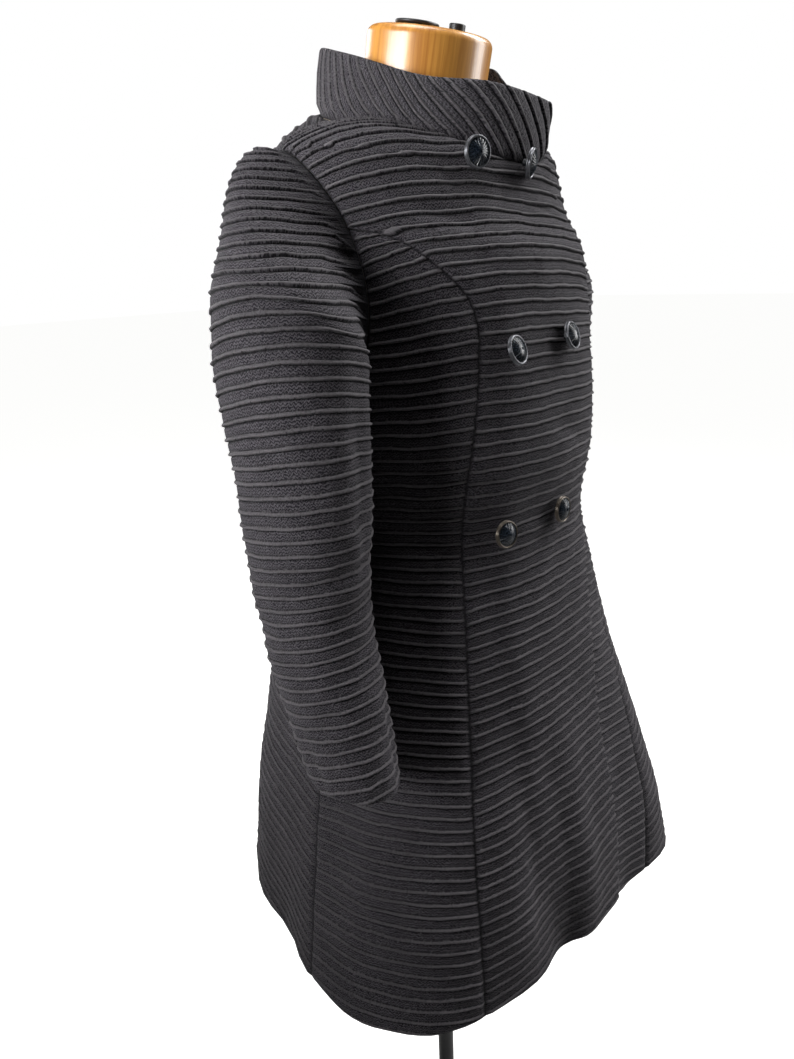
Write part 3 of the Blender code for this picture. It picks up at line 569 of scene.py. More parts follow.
@dataclass(frozen=True)
class FlatCut:
    """A piece laid flat: where each place of a coarse grid lies in its cut."""

    flat: Array
    area: float

    @property
    def size(self) -> Pair:
        """Width and length of the cut."""
        width = float(np.ptp(self.flat[..., 0]))
        length = float(np.ptp(self.flat[..., 1]))
        return width, length

    @classmethod
    def of(cls, grid: Array, grain: int, rounds: int = 50) -> "FlatCut":
        """Lay a grid of points flat with as little stretch as it takes.

        Args:
            grid: Rows of points, from the foot of the piece to its head.
            grain: The column that stands upright in the cut.
            rounds: How often the pieces are turned and joined again.

        Returns:
            The cut, with the foot of its grain column at the origin.
        """
        rows, columns = grid.shape[:2]
        points = grid.reshape(-1, 3)
        number = np.arange(rows * columns).reshape(rows, columns)
        a, b = number[:-1, :-1].ravel(), number[:-1, 1:].ravel()
        c, d = number[1:, 1:].ravel(), number[1:, :-1].ravel()
        faces = np.concatenate((
            np.stack((a, b, c), 1), np.stack((a, c, d), 1),
            np.stack((a, b, d), 1), np.stack((b, c, d), 1),
        ))
        corners = points[faces]
        edge = unit(corners[:, 1] - corners[:, 0])
        normal = unit(np.cross(edge, corners[:, 2] - corners[:, 0]))
        side = np.cross(normal, edge)
        away = corners - corners[:, :1]
        local = np.stack(
            (np.einsum("fij,fj->fi", away, edge), np.einsum("fij,fj->fi", away, side)), -1)
        gram = np.zeros((len(points), len(points)))
        ways, weights, starts, ends = [], [], [], []
        for first, second, third in ((0, 1, 2), (1, 2, 0), (2, 0, 1)):
            one = local[:, first] - local[:, third]
            two = local[:, second] - local[:, third]
            cross = np.abs(one[:, 0] * two[:, 1] - one[:, 1] * two[:, 0])
            cotangent = np.clip((one * two).sum(1) / np.maximum(cross, SMALLEST_AREA),
                                *COTANGENTS)
            starts.append(faces[:, first])
            ends.append(faces[:, second])
            ways.append(local[:, first] - local[:, second])
            weights.append(cotangent)
            np.add.at(gram, (faces[:, first], faces[:, first]), cotangent)
            np.add.at(gram, (faces[:, second], faces[:, second]), cotangent)
            np.add.at(gram, (faces[:, first], faces[:, second]), -cotangent)
            np.add.at(gram, (faces[:, second], faces[:, first]), -cotangent)
        gram[0, 0] += 1.0
        solver = np.linalg.inv(gram)
        flat = cls._first_guess(grid, grain).reshape(-1, 2)
        for _ in range(rounds):
            turn = np.zeros((len(faces), 2, 2))
            for start, end, way, weight in zip(starts, ends, ways, weights):
                placed = flat[start] - flat[end]
                turn += weight[:, None, None] * placed[:, :, None] * way[:, None, :]
            angle = np.arctan2(turn[:, 1, 0] - turn[:, 0, 1], turn[:, 0, 0] + turn[:, 1, 1])
            cosine, sine = np.cos(angle), np.sin(angle)
            goal = np.zeros_like(flat)
            for start, end, way, weight in zip(starts, ends, ways, weights):
                pull = weight[:, None] * np.stack((
                    cosine * way[:, 0] - sine * way[:, 1],
                    sine * way[:, 0] + cosine * way[:, 1]), 1)
                np.add.at(goal, start, pull)
                np.add.at(goal, end, -pull)
            goal[0] += flat[0]
            flat = solver @ goal
        flat = flat.reshape(rows, columns, 2)
        foot, head = flat[0, grain], flat[-1, grain]
        up = unit(head - foot)
        side_way = np.array((up[1], -up[0]))
        moved = flat - foot
        flat = np.stack((moved @ side_way, moved @ up), -1)
        diagonal = np.abs(np.cross(flat[1:, 1:] - flat[:-1, :-1], flat[1:, :-1] - flat[:-1, 1:]))
        return cls(flat, 0.5 * float(diagonal.sum()))

    @staticmethod
    def _first_guess(grid: Array, grain: int) -> Array:
        """Lengths along each row from the grain column, and up that column."""
        across = np.linalg.norm(np.diff(grid, axis=1), axis=-1).cumsum(1)
        across = np.concatenate((np.zeros((len(grid), 1)), across), 1)
        across -= across[:, grain:grain + 1]
        up = lengths(grid[:, grain])
        return np.stack((across, np.broadcast_to(up[:, None], across.shape)), -1)


@dataclass
class RibGrid:
    """Rows of places along the ribs, cut off at a piece's lower and upper limits.

    numbers holds the place that each row has on each line; line, key and rib say on
    which line a place lies, where along it and at which height across the ribs.
    """

    numbers: Array
    line: Array
    key: Array
    rib: Array
    low: Array
    high: Array

    @classmethod
    def of(cls, keys: Array, heights: Array) -> "RibGrid":
        """Cut every line at the rows.

        Args:
            keys: Rising keys along the lines.
            heights: For each line, its rising height across the ribs at the keys.

        Returns:
            The grid with all its places.
        """
        low, high = heights[:, 0], heights[:, -1]
        rows = WOOL.rows(float(low.min()), float(high.max()))
        first = np.searchsorted(rows, low + WOOL.row_margin)
        last = np.searchsorted(rows, high - WOOL.row_margin)
        counts = last - first + 2
        base = np.concatenate(((0,), np.cumsum(counts)[:-1]))
        row = np.arange(first.min() - 1, last.max() + 1)[:, None]
        step = np.clip(row - first[None, :] + 1, 0, counts[None, :] - 1)
        numbers = base[None, :] + step
        line = np.repeat(np.arange(len(low)), counts)
        place = np.arange(len(line)) - base[line]
        rib = rows[np.clip(first[line] + place - 1, 0, len(rows) - 1)]
        rib = np.where(place == 0, low[line], rib)
        rib = np.where(place == counts[line] - 1, high[line], rib)
        shift = WOOL.wobble * uneven(WOOL.line_step * line, rib, WOOL.wobble_seed)
        sought = np.clip(rib + shift, low[line], high[line])
        sought = np.where(place == 0, low[line], sought)
        sought = np.where(place == counts[line] - 1, high[line], sought)
        key = np.empty(len(line))
        for number, height in enumerate(heights):
            chosen = line == number
            key[chosen] = np.interp(sought[chosen], height, keys)
        return cls(numbers, line, key, rib, low[line], high[line])


@dataclass
class CutGrid:
    """A rib grid laid on a flat cut, between the cut's left and right sides."""

    grid: RibGrid
    aside: Array
    left: Array
    right: Array

    @classmethod
    def of(cls, keys: Array, across: Array, upward: Array) -> "CutGrid":
        """Cut every line of a piece at the ribs' rows.

        Args:
            keys: Rising keys along the lines.
            across: For each line, its places across the cut at the keys.
            upward: For each line, its rising places along the cut at the keys.

        Returns:
            The grid.
        """
        grid = RibGrid.of(keys, upward)
        aside = np.empty(len(grid.line))
        for number, row in enumerate(across):
            chosen = grid.line == number
            aside[chosen] = np.interp(grid.key[chosen], keys, row)
        return cls(grid, aside, np.interp(grid.key, keys, across[0]),
                   np.interp(grid.key, keys, across[-1]))

    @property
    def place(self) -> Array:
        """Places in the cut, for the UV map."""
        return np.stack((self.aside, self.grid.rib), 1)

    def sides(self, start: Edge, end: Edge) -> tuple[tuple[Edge, Array], ...]:
        """The edges on the left and right with the way to each."""
        return (start, self.aside - self.left), (end, self.right - self.aside)

    def relief(self, start: Edge = Edge.SEAM, end: Edge = Edge.SEAM) -> Array:
        """Height of the outer layer over the wall: ribs, sunk seams and rounded edges."""
        height = WOOL.relief(self.aside, self.grid.rib)
        for edge, away in self.sides(start, end):
            height = WOOL.at_edge(edge, height, away)
        height = WOOL.at_edge(Edge.FREE, height, self.grid.rib - self.grid.low)
        return WOOL.at_edge(Edge.SEAM, height, self.grid.high - self.grid.rib)

    def shade(self, start: Edge = Edge.SEAM, end: Edge = Edge.SEAM) -> Array:
        """How far each place lies in a seam, for the shade painted there."""
        return WOOL.shade(*self.sides(start, end), (Edge.SEAM, self.grid.high - self.grid.rib))


def column_shares(spans: int, close_places: tuple[float, ...], width: float) -> Array:
    """Shares of a piece's width where its lines stand, closer together at its sides."""
    close = np.array(close_places) / width
    margin = close[-1] * CLOSE_MARGIN
    middle = np.linspace(0.0, 1.0, spans + 1)
    middle = middle[(middle > margin) & (middle < 1.0 - margin)]
    return np.concatenate(((0.0,), close, middle, 1.0 - close[::-1], (1.0,)))


@dataclass
class Shell:
    """A thin closed shell between an outer and an inner layer of places."""

    name: str
    grid: RibGrid
    outer: Array
    inner: Array
    cloth_place: Array
    seam_shade: Array
    turned: bool = False
    sharp_angle: float = math.radians(75.0)

    def build(self, material: Material) -> Object:
        """Make the mesh, with the cut's places as its UV map."""
        numbers = self.grid.numbers
        count = len(self.outer)
        outside = self._layer(numbers)
        chains = (numbers[0], numbers[-1][::-1], numbers[::-1, 0], numbers[:, -1])
        every = np.concatenate((outside, outside[:, ::-1] + count, *map(self._rim, chains)))
        if self.turned:
            every = every[:, ::-1]
        points = np.concatenate((self.outer, self.inner))
        mesh = bpy.data.meshes.new(self.name)
        mesh.vertices.add(len(points))
        mesh.vertices.foreach_set("co", points.ravel())
        mesh.loops.add(every.size)
        mesh.loops.foreach_set("vertex_index", every.ravel().astype(np.int32))
        mesh.polygons.add(len(every))
        mesh.polygons.foreach_set("loop_start", np.arange(0, every.size, 3, dtype=np.int32))
        mesh.update(calc_edges=True)
        layer = mesh.uv_layers.new(name="cloth")
        place = np.concatenate((self.cloth_place, self.cloth_place))
        layer.data.foreach_set("uv", place[every.ravel()].ravel())
        # painted shade along the seams, which the cloth's finish reads
        shade = mesh.attributes.new("seam", "FLOAT", "POINT")
        shade.data.foreach_set("value", np.concatenate((self.seam_shade, self.seam_shade)))
        mesh.materials.append(material)
        mesh.shade_smooth()
        mesh.set_sharp_from_angle(angle=self.sharp_angle)
        item = new_object(self.name, mesh)
        log.info("%s: %d triangles", self.name, len(every))
        return item

    @staticmethod
    def _layer(numbers: Array) -> Array:
        """Triangles of the outer layer; rows that are cut off fall away."""
        a, b = numbers[:-1, :-1].ravel(), numbers[:-1, 1:].ravel()
        c, d = numbers[1:, 1:].ravel(), numbers[1:, :-1].ravel()
        lower = np.stack((a, b, c), 1)[b != c]
        upper = np.stack((a, c, d), 1)[a != d]
        return np.concatenate((lower, upper))

    def _rim(self, chain: Array) -> Array:
        """Triangles that close the wall along a chain of places."""
        chain = chain[np.concatenate(((True,), np.diff(chain) != 0))]
        start, end = chain[:-1], chain[1:]
        away = len(self.outer)
        lower = np.stack((start + away, end + away, end), 1)
        upper = np.stack((start + away, end, start), 1)
        return np.concatenate((lower, upper))


@dataclass
class Panel:
    """A panel of the coat's body."""

    name: str
    node: str
    start: Limit
    end: Limit
    top: float
    spans: int
    start_edge: Edge
    end_edge: Edge
    grain: float = 0.5
    lift: Callable[[Array, Array], Array] | None = None
    covered: Limit | None = None
    rows: int = 46
    slope_start: float = 1.500
    slope_rows: int = 12
    columns: int = 13
    close_places: tuple[float, ...] = (0.0010, 0.0026, 0.0052)
    # ribs of the covered part: metres for each degree past its cover, and way to full height
    covered_scale: float = 0.0022
    covered_rise: float = 0.006

    def azimuth(self, share: Array, level: Array) -> Array:
        """Azimuth at a share of the panel's width."""
        return self.start(level) + (self.end(level) - self.start(level)) * share

    def base_lift(self, azimuth: Array, level: Array) -> Array:
        """Height of the panel's inside over the body."""
        if self.lift is None:
            return np.zeros(np.broadcast(azimuth, level).shape)
        return self.lift(azimuth, level)

    def levels(self) -> Array:
        """Levels of the coarse grid, closer together over the shoulder."""
        levels = np.linspace(BODY.hem, min(self.top, self.slope_start), self.rows)
        if self.top > self.slope_start:
            for low, high, count in ((self.slope_start, BODY.shoulder, self.slope_rows),
                                     (BODY.shoulder, self.top, self.slope_rows)):
                levels = np.concatenate((levels, np.linspace(low, high, count)[1:]))
        return levels

    def build(self, material: Material) -> Object:
        levels = self.levels()
        coarse = np.linspace(0.0, 1.0, self.columns)
        azimuth = self.azimuth(coarse[None, :], levels[:, None])
        lift = self.base_lift(azimuth, levels[:, None]) + WALL
        cut = FlatCut.of(
            BODY.point(azimuth, levels[:, None])
            + lift[..., None] * BODY.normal(azimuth, levels[:, None]),
            round(self.grain * (self.columns - 1)))
        shares = column_shares(self.spans, self.close_places, cut.size[0])
        laid = CutGrid.of(levels, Curve(coarse, cut.flat[..., 0].T)(shares),
                          Curve(coarse, cut.flat[..., 1].T)(shares))
        grid = laid.grid
        azimuth = self.azimuth(shares[grid.line], grid.key)
        base = self.base_lift(azimuth, grid.key)
        relief = laid.relief(self.start_edge, self.end_edge)
        if self.covered is not None:
            past = (azimuth - self.covered(grid.key)) * self.covered_scale
            relief = relief * smooth_step(past / self.covered_rise)
        outer = BODY.placed(azimuth, grid.key, base + WALL + relief)
        inner = BODY.placed(azimuth, grid.key, base)
        shade = laid.shade(self.start_edge, self.end_edge)
        item = Shell(self.name, grid, outer, inner, laid.place, shade).build(material)
        declare(item, Slot.CLOTH, self.node)
        cut.size
        log.info("%s: cut %.3f x %.3f m, %.3f m2", self.name, *cut.size, cut.area)
        return item


def declare(item: Object, slot: Slot, node: str) -> None:
    """Put a finished piece on the part in place of its CAD node."""
    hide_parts(node)
    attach(item, "root")


@dataclass
class CoatBody:
    """Fronts, side fronts and back."""

    front_spans: int = 33
    side_spans: int = 18
    back_spans: int = 42
    tip_cut: float = 0.0012

    @staticmethod
    def drawn_in(limit: Limit, way: int, seam: Limit | None = None) -> Limit:
        """A limit moved by its share of a seam's gap.

        Args:
            limit: The middle of the seam.
            way: 1 where the panel begins and -1 where it ends.
            seam: The limit whose slant widens the gap, if it is another one.

        Returns:
            The panel's own limit.
        """
        return lambda level: limit(level) + way * BODY.inset(level, seam or limit)

    @staticmethod
    def mirrored(limit: Limit) -> Limit:
        """The limit on the wearer's left that answers one on the right."""
        return lambda level: BODY.across(level, limit(level))

    def panels(self) -> list[Panel]:
        """The five panels."""
        neck = BODY.neck - GAP
        tip = BODY.princess_top - self.tip_cut

        def back_right(level: Array) -> Array:
            """The back's limit on the right, as its far end seen from the left."""
            return 360.0 + BODY.back_outer(level)

        return [
            Panel("cloth_front_right", "front_right", self.drawn_in(BODY.front_outer, 1),
                  BODY.right_edge, neck, self.front_spans, Edge.SEAM, Edge.FREE, grain=0.65,
                  lift=BODY.lap_lift),
            Panel("cloth_front_left", "front_left", BODY.left_edge,
                  self.drawn_in(self.mirrored(BODY.front_outer), -1, BODY.front_outer), neck,
                  self.front_spans, Edge.HIDDEN, Edge.SEAM, grain=0.35, covered=BODY.right_edge),
            Panel("cloth_side_right", "side_right", self.drawn_in(BODY.side_outer, 1),
                  self.drawn_in(BODY.princess, -1), tip, self.side_spans, Edge.SEAM, Edge.SEAM),
            Panel("cloth_side_left", "side_left", self.drawn_in(self.mirrored(BODY.princess), 1),
                  self.drawn_in(self.mirrored(BODY.side_outer), -1), tip,
                  self.side_spans, Edge.SEAM, Edge.SEAM),
            Panel("cloth_back", "back", self.drawn_in(self.mirrored(BODY.back_outer), 1),
                  self.drawn_in(back_right, -1), neck,
                  self.back_spans, Edge.SEAM, Edge.SEAM, columns=19),
        ]

    def build(self, material: Material) -> None:
        """Make all the panels."""
        for panel in self.panels():
            panel.build(material)


@dataclass
class Sleeve:
    """A long set-in sleeve, worked out as a right one; side is -1 for the left."""

    name: str
    node: str
    side: int
    rests_on: str
    # height, out, forward, half across, half along, slant
    rings: Curve = Curve.of((
        (0.988, 0.2530, 0.1140, 0.0375, 0.0450, 0.010),
        (1.030, 0.2505, 0.1000, 0.0400, 0.0500, 0.008),
        (1.075, 0.2485, 0.0840, 0.0430, 0.0550, 0.004),
        (1.115, 0.2460, 0.0700, 0.0450, 0.0565, 0.002),
        (1.170, 0.2440, 0.0610, 0.0470, 0.0590, 0.004),
        (1.230, 0.2430, 0.0605, 0.0500, 0.0640, 0.010),
        (1.275, 0.2425, 0.0590, 0.0520, 0.0675, 0.020),
        (1.340, 0.2395, 0.0515, 0.0555, 0.0735, 0.045),
        (1.390, 0.2350, 0.0500, 0.0560, 0.0735, 0.080),
    ))
    cuff: float = 0.988
    first_ring: float = 1.390
    puff: float = 0.026
    puff_shape: float = 9.48
    puff_turn: float = -30.0
    puff_way: tuple[float, float, float] = (-0.60, 0.30, 0.75)
    reach_top: float = 0.150
    reach_under: float = 0.030
    fall_top: float = 0.120
    lean: float = 0.25
    left_back: float = 0.090
    left_cap_share: float = 0.68
    left_drop: float = 0.200
    puff_round: float = 1.5
    seam_turn: float = 179.85
    # how level the cap's ribs lie, and from where on the sleeve
    level_share: float = 0.85
    level_start: float = 0.75
    level_way: float = 0.45
    least_rise: float = 0.12
    tube_rows: int = 38
    cap_rows: int = 26
    columns: int = 25
    spans: int = 46
    close_places: tuple[float, ...] = (0.0010, 0.0026, 0.0050)
    # share of the way from the armhole over which normals turn away from the body's
    blend_way: float = 0.14
    dent_start: float = 0.1
    dent_way: float = 0.5
    ripple: float = 0.0011
    ripple_seed: float = 6.0
    ripple_places: Pair = (0.06, 0.05)
    creases: tuple[Crease, ...] = Crease.rows(
        (96.0, 1.385, 106.0, 1.180, 0.015, -0.0045),
        (70.0, 1.340, 74.0, 1.240, 0.016, 0.0020),
        (128.0, 1.238, 48.0, 1.252, 0.011, -0.0026),
        (130.0, 1.205, 52.0, 1.196, 0.010, -0.0036),
        (120.0, 1.188, 70.0, 1.178, 0.008, 0.0020),
        (132.0, 1.166, 66.0, 1.158, 0.009, -0.0032),
        (124.0, 1.128, 84.0, 1.122, 0.009, -0.0022),
        (20.0, 1.165, -46.0, 1.128, 0.020, -0.0024),
        (34.0, 1.300, -10.0, 1.325, 0.018, -0.0022),
        (52.0, 1.090, 20.0, 1.050, 0.016, -0.0024),
        (112.0, 1.080, 118.0, 0.990, 0.012, -0.0036),
        (-8.0, 1.045, 4.0, 0.986, 0.014, -0.0034),
        (64.0, 1.030, 60.0, 0.986, 0.012, 0.0026),
        (-128.0, 1.225, -60.0, 1.205, 0.016, -0.0026),
        (-112.0, 1.110, -70.0, 1.090, 0.014, -0.0024),
        metres_per_degree=0.0010,
    )

    def ring(self, turn: Array, height: Array) -> Array:
        """Points of the rings below the cap."""
        ring = np.moveaxis(self.rings(height), -1, 0)
        out, forward, half_across, half_along, slant = ring
        if self.side < 0:
            down = smooth_step((self.first_ring - height) / self.left_drop)
            share = self.left_cap_share + (1.0 - self.left_cap_share) * down
            forward = forward - self.left_back * share
        along, across = sine_cosine(turn)
        return np.stack((
            -(out + half_across * across),
            -(forward + half_along * along),
            height + 0.5 * slant * across,
        ), axis=-1)

    def flipped(self, points: Array) -> Array:
        """The points, or their mirror images for the left sleeve."""
        return points * np.array((self.side, 1.0, 1.0))

    def body_normal(self, turn: Array) -> Array:
        """The body's normals along the armhole."""
        azimuth, level = BODY.armhole_place(turn)
        return self.flipped(BODY.normal(self.side * azimuth, level))

    def middle(self, turn: Array, down: Array) -> Array:
        """Middle surface: down is 0 at the armhole, 1 at the first ring, 2 at the cuff."""
        turn, down = np.broadcast_arrays(turn, down)
        share = np.clip(down, 0.0, 1.0)[..., None]
        azimuth, level = BODY.armhole_place(turn)
        normal = self.body_normal(turn)
        start = BODY.point(self.side * azimuth, level)
        start = self.flipped(start) + 0.5 * WALL * normal
        centre_azimuth = np.array(self.side * 0.5 * (BODY.tip_azimuth + BODY.underarm_azimuth))
        centre_level = np.array(BODY.armhole_span[0])
        centre = BODY.point(centre_azimuth, centre_level)
        centre = self.flipped(centre + 0.5 * WALL * BODY.normal(centre_azimuth, centre_level))
        inward = centre - start
        inward = unit(inward - (inward * normal).sum(-1, keepdims=True) * normal)
        start = start + GAP * inward
        upward = (0.5 + 0.5 * sine_cosine(turn)[1])[..., None]
        leave = unit(upward * inward + (1.0 - upward) * (normal + self.lean * inward))
        leave = leave * (self.reach_under + (self.reach_top - self.reach_under) * upward)
        first = self.ring(turn, np.full(turn.shape, self.first_ring))
        below = self.ring(turn, np.full(turn.shape, self.first_ring - 0.01))
        fall = unit(below - first)
        fall = fall * (self.reach_under + (self.fall_top - self.reach_under) * upward)
        round_way = 0.5 + 0.5 * sine_cosine(turn - self.puff_turn)[1]
        puff = self.puff * self.puff_shape * share * (1.0 - share) ** 3
        puff = puff * (round_way ** self.puff_round)[..., None]
        at_start, at_end, leaving, arriving = cubic(share)
        cap = (start * at_start + puff * unit(np.array(self.puff_way)) + first * at_end
               + leave * leaving + fall * arriving)
        height = self.first_ring + (self.cuff - self.first_ring) * np.clip(down - 1.0, 0.0, 1.0)
        return np.where((down <= 1.0)[..., None], cap, self.ring(turn, height))

    def normal(self, turn: Array, down: Array) -> Array:
        """Outward normals, lying with the body's at the armhole."""
        step = 0.01
        around = self.middle(turn + 1.0, down) - self.middle(turn - 1.0, down)
        up = self.middle(turn, np.clip(down - step, 0.0, 2.0))
        up = up - self.middle(turn, np.clip(down + step, 0.0, 2.0))
        own = unit(np.cross(around, up))
        blend = smooth_step(down / self.blend_way)[..., None]
        return unit(own * blend + self.body_normal(turn) * (1.0 - blend))

    def dents(self, turn: Array, down: Array, height: Array) -> Array:
        """How far the worn cloth's creases move it out."""
        along, across = sine_cosine(turn)
        out, forward = self.ripple_places
        total = self.ripple * uneven(out * across, height + forward * along,
                                     self.ripple_seed + self.side)
        for crease in self.creases:
            total = total + crease.offset(turn, height)
        return total * smooth_step((down - self.dent_start) / self.dent_way)

    def levelled(self, up: Array, middle: Array, along: Array) -> Array:
        """Places along the cut, eased on the cap so that its ribs lie nearly level.

        Args:
            up: 0 at the cuff, 1 at the first ring and 2 at the armhole, one for each row.
            middle: Points of the sleeve, a row for each place and a column for each turn.
            along: The same points' places along the flat cut.

        Returns:
            The eased places, which rise all the way up each column.
        """
        height = middle[..., 2]
        centre = height.shape[1] // 2
        outermost = np.maximum.accumulate(height[:, centre]) + TINY_RISE * np.arange(len(up))
        length = along[0, centre] + lengths(middle[:, centre])
        level = np.interp(height, outermost, 0.5 * (length + along[:, centre]))
        share = smooth_step((up[:, None] - self.level_start) / self.level_way)
        eased = along + self.level_share * share * (level - along)
        steps = np.linalg.norm(np.diff(middle, axis=0), axis=-1)
        rise = np.maximum(np.diff(eased, axis=0), self.least_rise * steps)
        return eased[:1] + np.concatenate((0.0 * eased[:1], rise.cumsum(axis=0)))

    def build(self, material: Material) -> Object:
        up = np.concatenate((np.linspace(0.0, 1.0, self.tube_rows),
                             np.linspace(1.0, 2.0, self.cap_rows)[1:]))
        coarse = np.linspace(0.0, 1.0, self.columns)
        turns = self.seam_turn * (2.0 * coarse - 1.0)
        middle = self.middle(turns[None, :], 2.0 - up[:, None])
        cut = FlatCut.of(middle, self.columns // 2)
        shares = column_shares(self.spans, self.close_places, cut.size[0])
        upward = self.levelled(up, middle, cut.flat[..., 1])
        laid = CutGrid.of(up, Curve(coarse, cut.flat[..., 0].T)(shares),
                          Curve(coarse, upward.T)(shares))
        turn = self.seam_turn * (2.0 * shares[laid.grid.line] - 1.0)
        down = 2.0 - laid.grid.key
        point, normal = self.middle(turn, down), self.normal(turn, down)
        dents = self.dents(turn, down, point[..., 2])
        outer = point + (0.5 * WALL + laid.relief() + dents)[:, None] * normal
        inner = point + (dents - 0.5 * WALL)[:, None] * normal
        item = Shell(self.name, laid.grid, self.flipped(outer), self.flipped(inner), laid.place,
                     laid.shade(), turned=self.side < 0).build(material)
        declare(item, Slot.CLOTH, self.node)
        cut.size
        log.info("%s: cut %.3f x %.3f m, %.3f m2", self.name, *cut.size, cut.area)
        return item


@dataclass
class Collar:
    """The stand collar, whose ribs run up it and lean forward over the shoulders."""

    bow: float = 0.002
    widening: float = 1.28
    steps: int = 420
    # share of the height over which normals turn away from the body's
    turn_share: float = 0.25
    # degrees past the lap in which the ribs reach their height
    lap_fade: float = 3.0
    # shares of the height where the mesh has its lines, and how many lie between them
    low_lines: tuple[float, ...] = (0.0, 0.03, 0.08)
    middle_lines: tuple[float, float, int] = (0.16, 0.88, 7)
    high_lines: tuple[float, ...] = (0.94, 0.975, 1.0)
    # azimuth, radius, height
    top: Curve = Curve.of((
        (-180.0, 0.104, 1.663),
        (-150.0, 0.098, 1.659),
        (-115.0, 0.083, 1.643),
        (-81.0, 0.076, 1.626),
        (-43.0, 0.089, 1.606),
        (-17.0, 0.106, 1.600),
        (10.0, 0.115, 1.594),
        (32.0, 0.126, 1.591),
        (55.0, 0.111, 1.602),
        (68.0, 0.103, 1.622),
        (79.0, 0.099, 1.641),
        (92.0, 0.097, 1.643),
        (125.0, 0.094, 1.648),
        (150.0, 0.099, 1.658),
        (180.0, 0.104, 1.663),
    ))
    # azimuth, how far a rib's foot runs towards the front for each metre of height
    lean: Curve = Curve.of((
        (-180.0, 0.00),
        (-150.0, 0.10),
        (-115.0, 0.42),
        (-80.0, 0.80),
        (-45.0, 0.84),
        (-20.0, 0.60),
        (10.0, 0.34),
        (32.0, 0.16),
        (60.0, -0.50),
        (110.0, -0.60),
        (150.0, -0.15),
        (180.0, 0.00),
    ))

    def place(self, azimuth: Array, share: Array, lift: Array, wall: Array) -> Array:
        """A point of the collar.

        Args:
            azimuth: Where round the neck; the right end lies past 360.
            share: 0 at the neck seam and 1 at the top edge.
            lift: How far the band stands off its own form.
            wall: How far through the wall, from its inside, in metres.

        Returns:
            The points.
        """
        level = np.full(np.shape(azimuth), BODY.neck)
        normal = BODY.normal(azimuth, level - GAP)
        foot = BODY.point(azimuth, level) + lift[..., None] * normal + GAP * UP
        radius, height = np.moveaxis(self.top(wrapped(azimuth)), -1, 0)
        side, ahead = sine_cosine(azimuth)
        outward = np.stack((side, -ahead, np.zeros_like(side)), -1)
        top = (radius + lift)[..., None] * outward + height[..., None] * UP
        share = share[..., None]
        bowed = self.bow * np.sin(np.pi * share) * outward
        turn = smooth_step(share / self.turn_share)
        way = unit(normal * (1.0 - turn) + outward * turn)
        return foot + (top - foot) * share + bowed + wall[..., None] * way

    def build(self, material: Material) -> Object:
        level = np.array(BODY.neck - GAP)
        lap_end = float(BODY.right_edge(level))
        azimuths = np.linspace(float(BODY.left_edge(level)), 360.0 + lap_end, self.steps)
        zero = np.zeros(len(azimuths))
        length = lengths(self.place(azimuths, zero + 0.5, zero, zero))
        shares = np.concatenate((self.low_lines, np.linspace(*self.middle_lines), self.high_lines))
        foot, head = (self.place(azimuths, zero + share, zero, zero) for share in (0.0, 1.0))
        rise = np.linalg.norm(head - foot, axis=1)
        lean = self.lean(wrapped(azimuths))[:, 0]
        heights = length[None, :] + shares[:, None] * (lean * rise)[None, :]
        heights = heights / self.widening
        heights = np.maximum.accumulate(heights, axis=1) + TINY_RISE * np.arange(len(azimuths))
        grid = RibGrid.of(azimuths, heights)
        share = shares[grid.line]
        band = float(rise.max())
        relief = WOOL.relief(share * band, grid.rib)
        tall = np.interp(grid.key, azimuths, rise)
        for edge, away in ((Edge.SEAM, share * tall), (Edge.FREE, (1.0 - share) * tall),
                           (Edge.HIDDEN, grid.rib - grid.low), (Edge.FREE, grid.high - grid.rib)):
            relief = WOOL.at_edge(edge, relief, away)
        relief = relief * smooth_step((grid.key - lap_end) / self.lap_fade)
        lift = self._lift(grid.key)
        outer = self.place(grid.key, share, lift, WALL + relief)
        inner = self.place(grid.key, share, lift, np.zeros(len(share)))
        spot = np.stack((share * band, grid.rib), 1)
        shade = WOOL.shade((Edge.SEAM, share * tall))
        item = Shell("cloth_collar", grid, outer, inner, spot, shade, turned=True).build(material)
        declare(item, Slot.CLOTH, "collar")
        return item

    def _lift(self, azimuth: Array) -> Array:
        """Height over its own form: the right end lies over the left one."""
        over = np.where(azimuth > 180.0, azimuth - 360.0, -180.0)
        level = np.full(azimuth.shape, BODY.neck - GAP)
        return BODY.lap_lift(over, level)


def new_object(name: str, data: ID) -> Object:
    """An object in the scene that shows a mesh, a light or a camera."""
    item = bpy.data.objects.new(name, data)
    bpy.context.scene.collection.objects.link(item)
    return item


@dataclass
class Lathe:
    """A body turned about Z from (radius, height) pairs, lowest first."""

    outline: Outline
    segments: int = 96
    sharp_angle: float = math.radians(35.0)

    def mesh(self, name: str) -> Mesh:
        """The closed mesh, with a pole at each end."""
        made = bmesh.new()
        low = made.verts.new((0.0, 0.0, self.outline[0][1]))
        high = made.verts.new((0.0, 0.0, self.outline[-1][1]))
        rings = []
        for radius, height in self.outline:
            ring = []
            for number in range(self.segments):
                turn = 2.0 * math.pi * number / self.segments
                ring.append(made.verts.new(
                    (radius * math.cos(turn), radius * math.sin(turn), height)))
            rings.append(ring)
        for number in range(self.segments):
            after = (number + 1) % self.segments
            made.faces.new((low, rings[0][after], rings[0][number]))
            made.faces.new((high, rings[-1][number], rings[-1][after]))
            for inner, outer in zip(rings, rings[1:]):
                made.faces.new((inner[number], inner[after], outer[after], outer[number]))
        mesh = bpy.data.meshes.new(name)
        made.to_mesh(mesh)
        made.free()
        mesh.shade_smooth()
        mesh.set_sharp_from_angle(angle=self.sharp_angle)
        return mesh


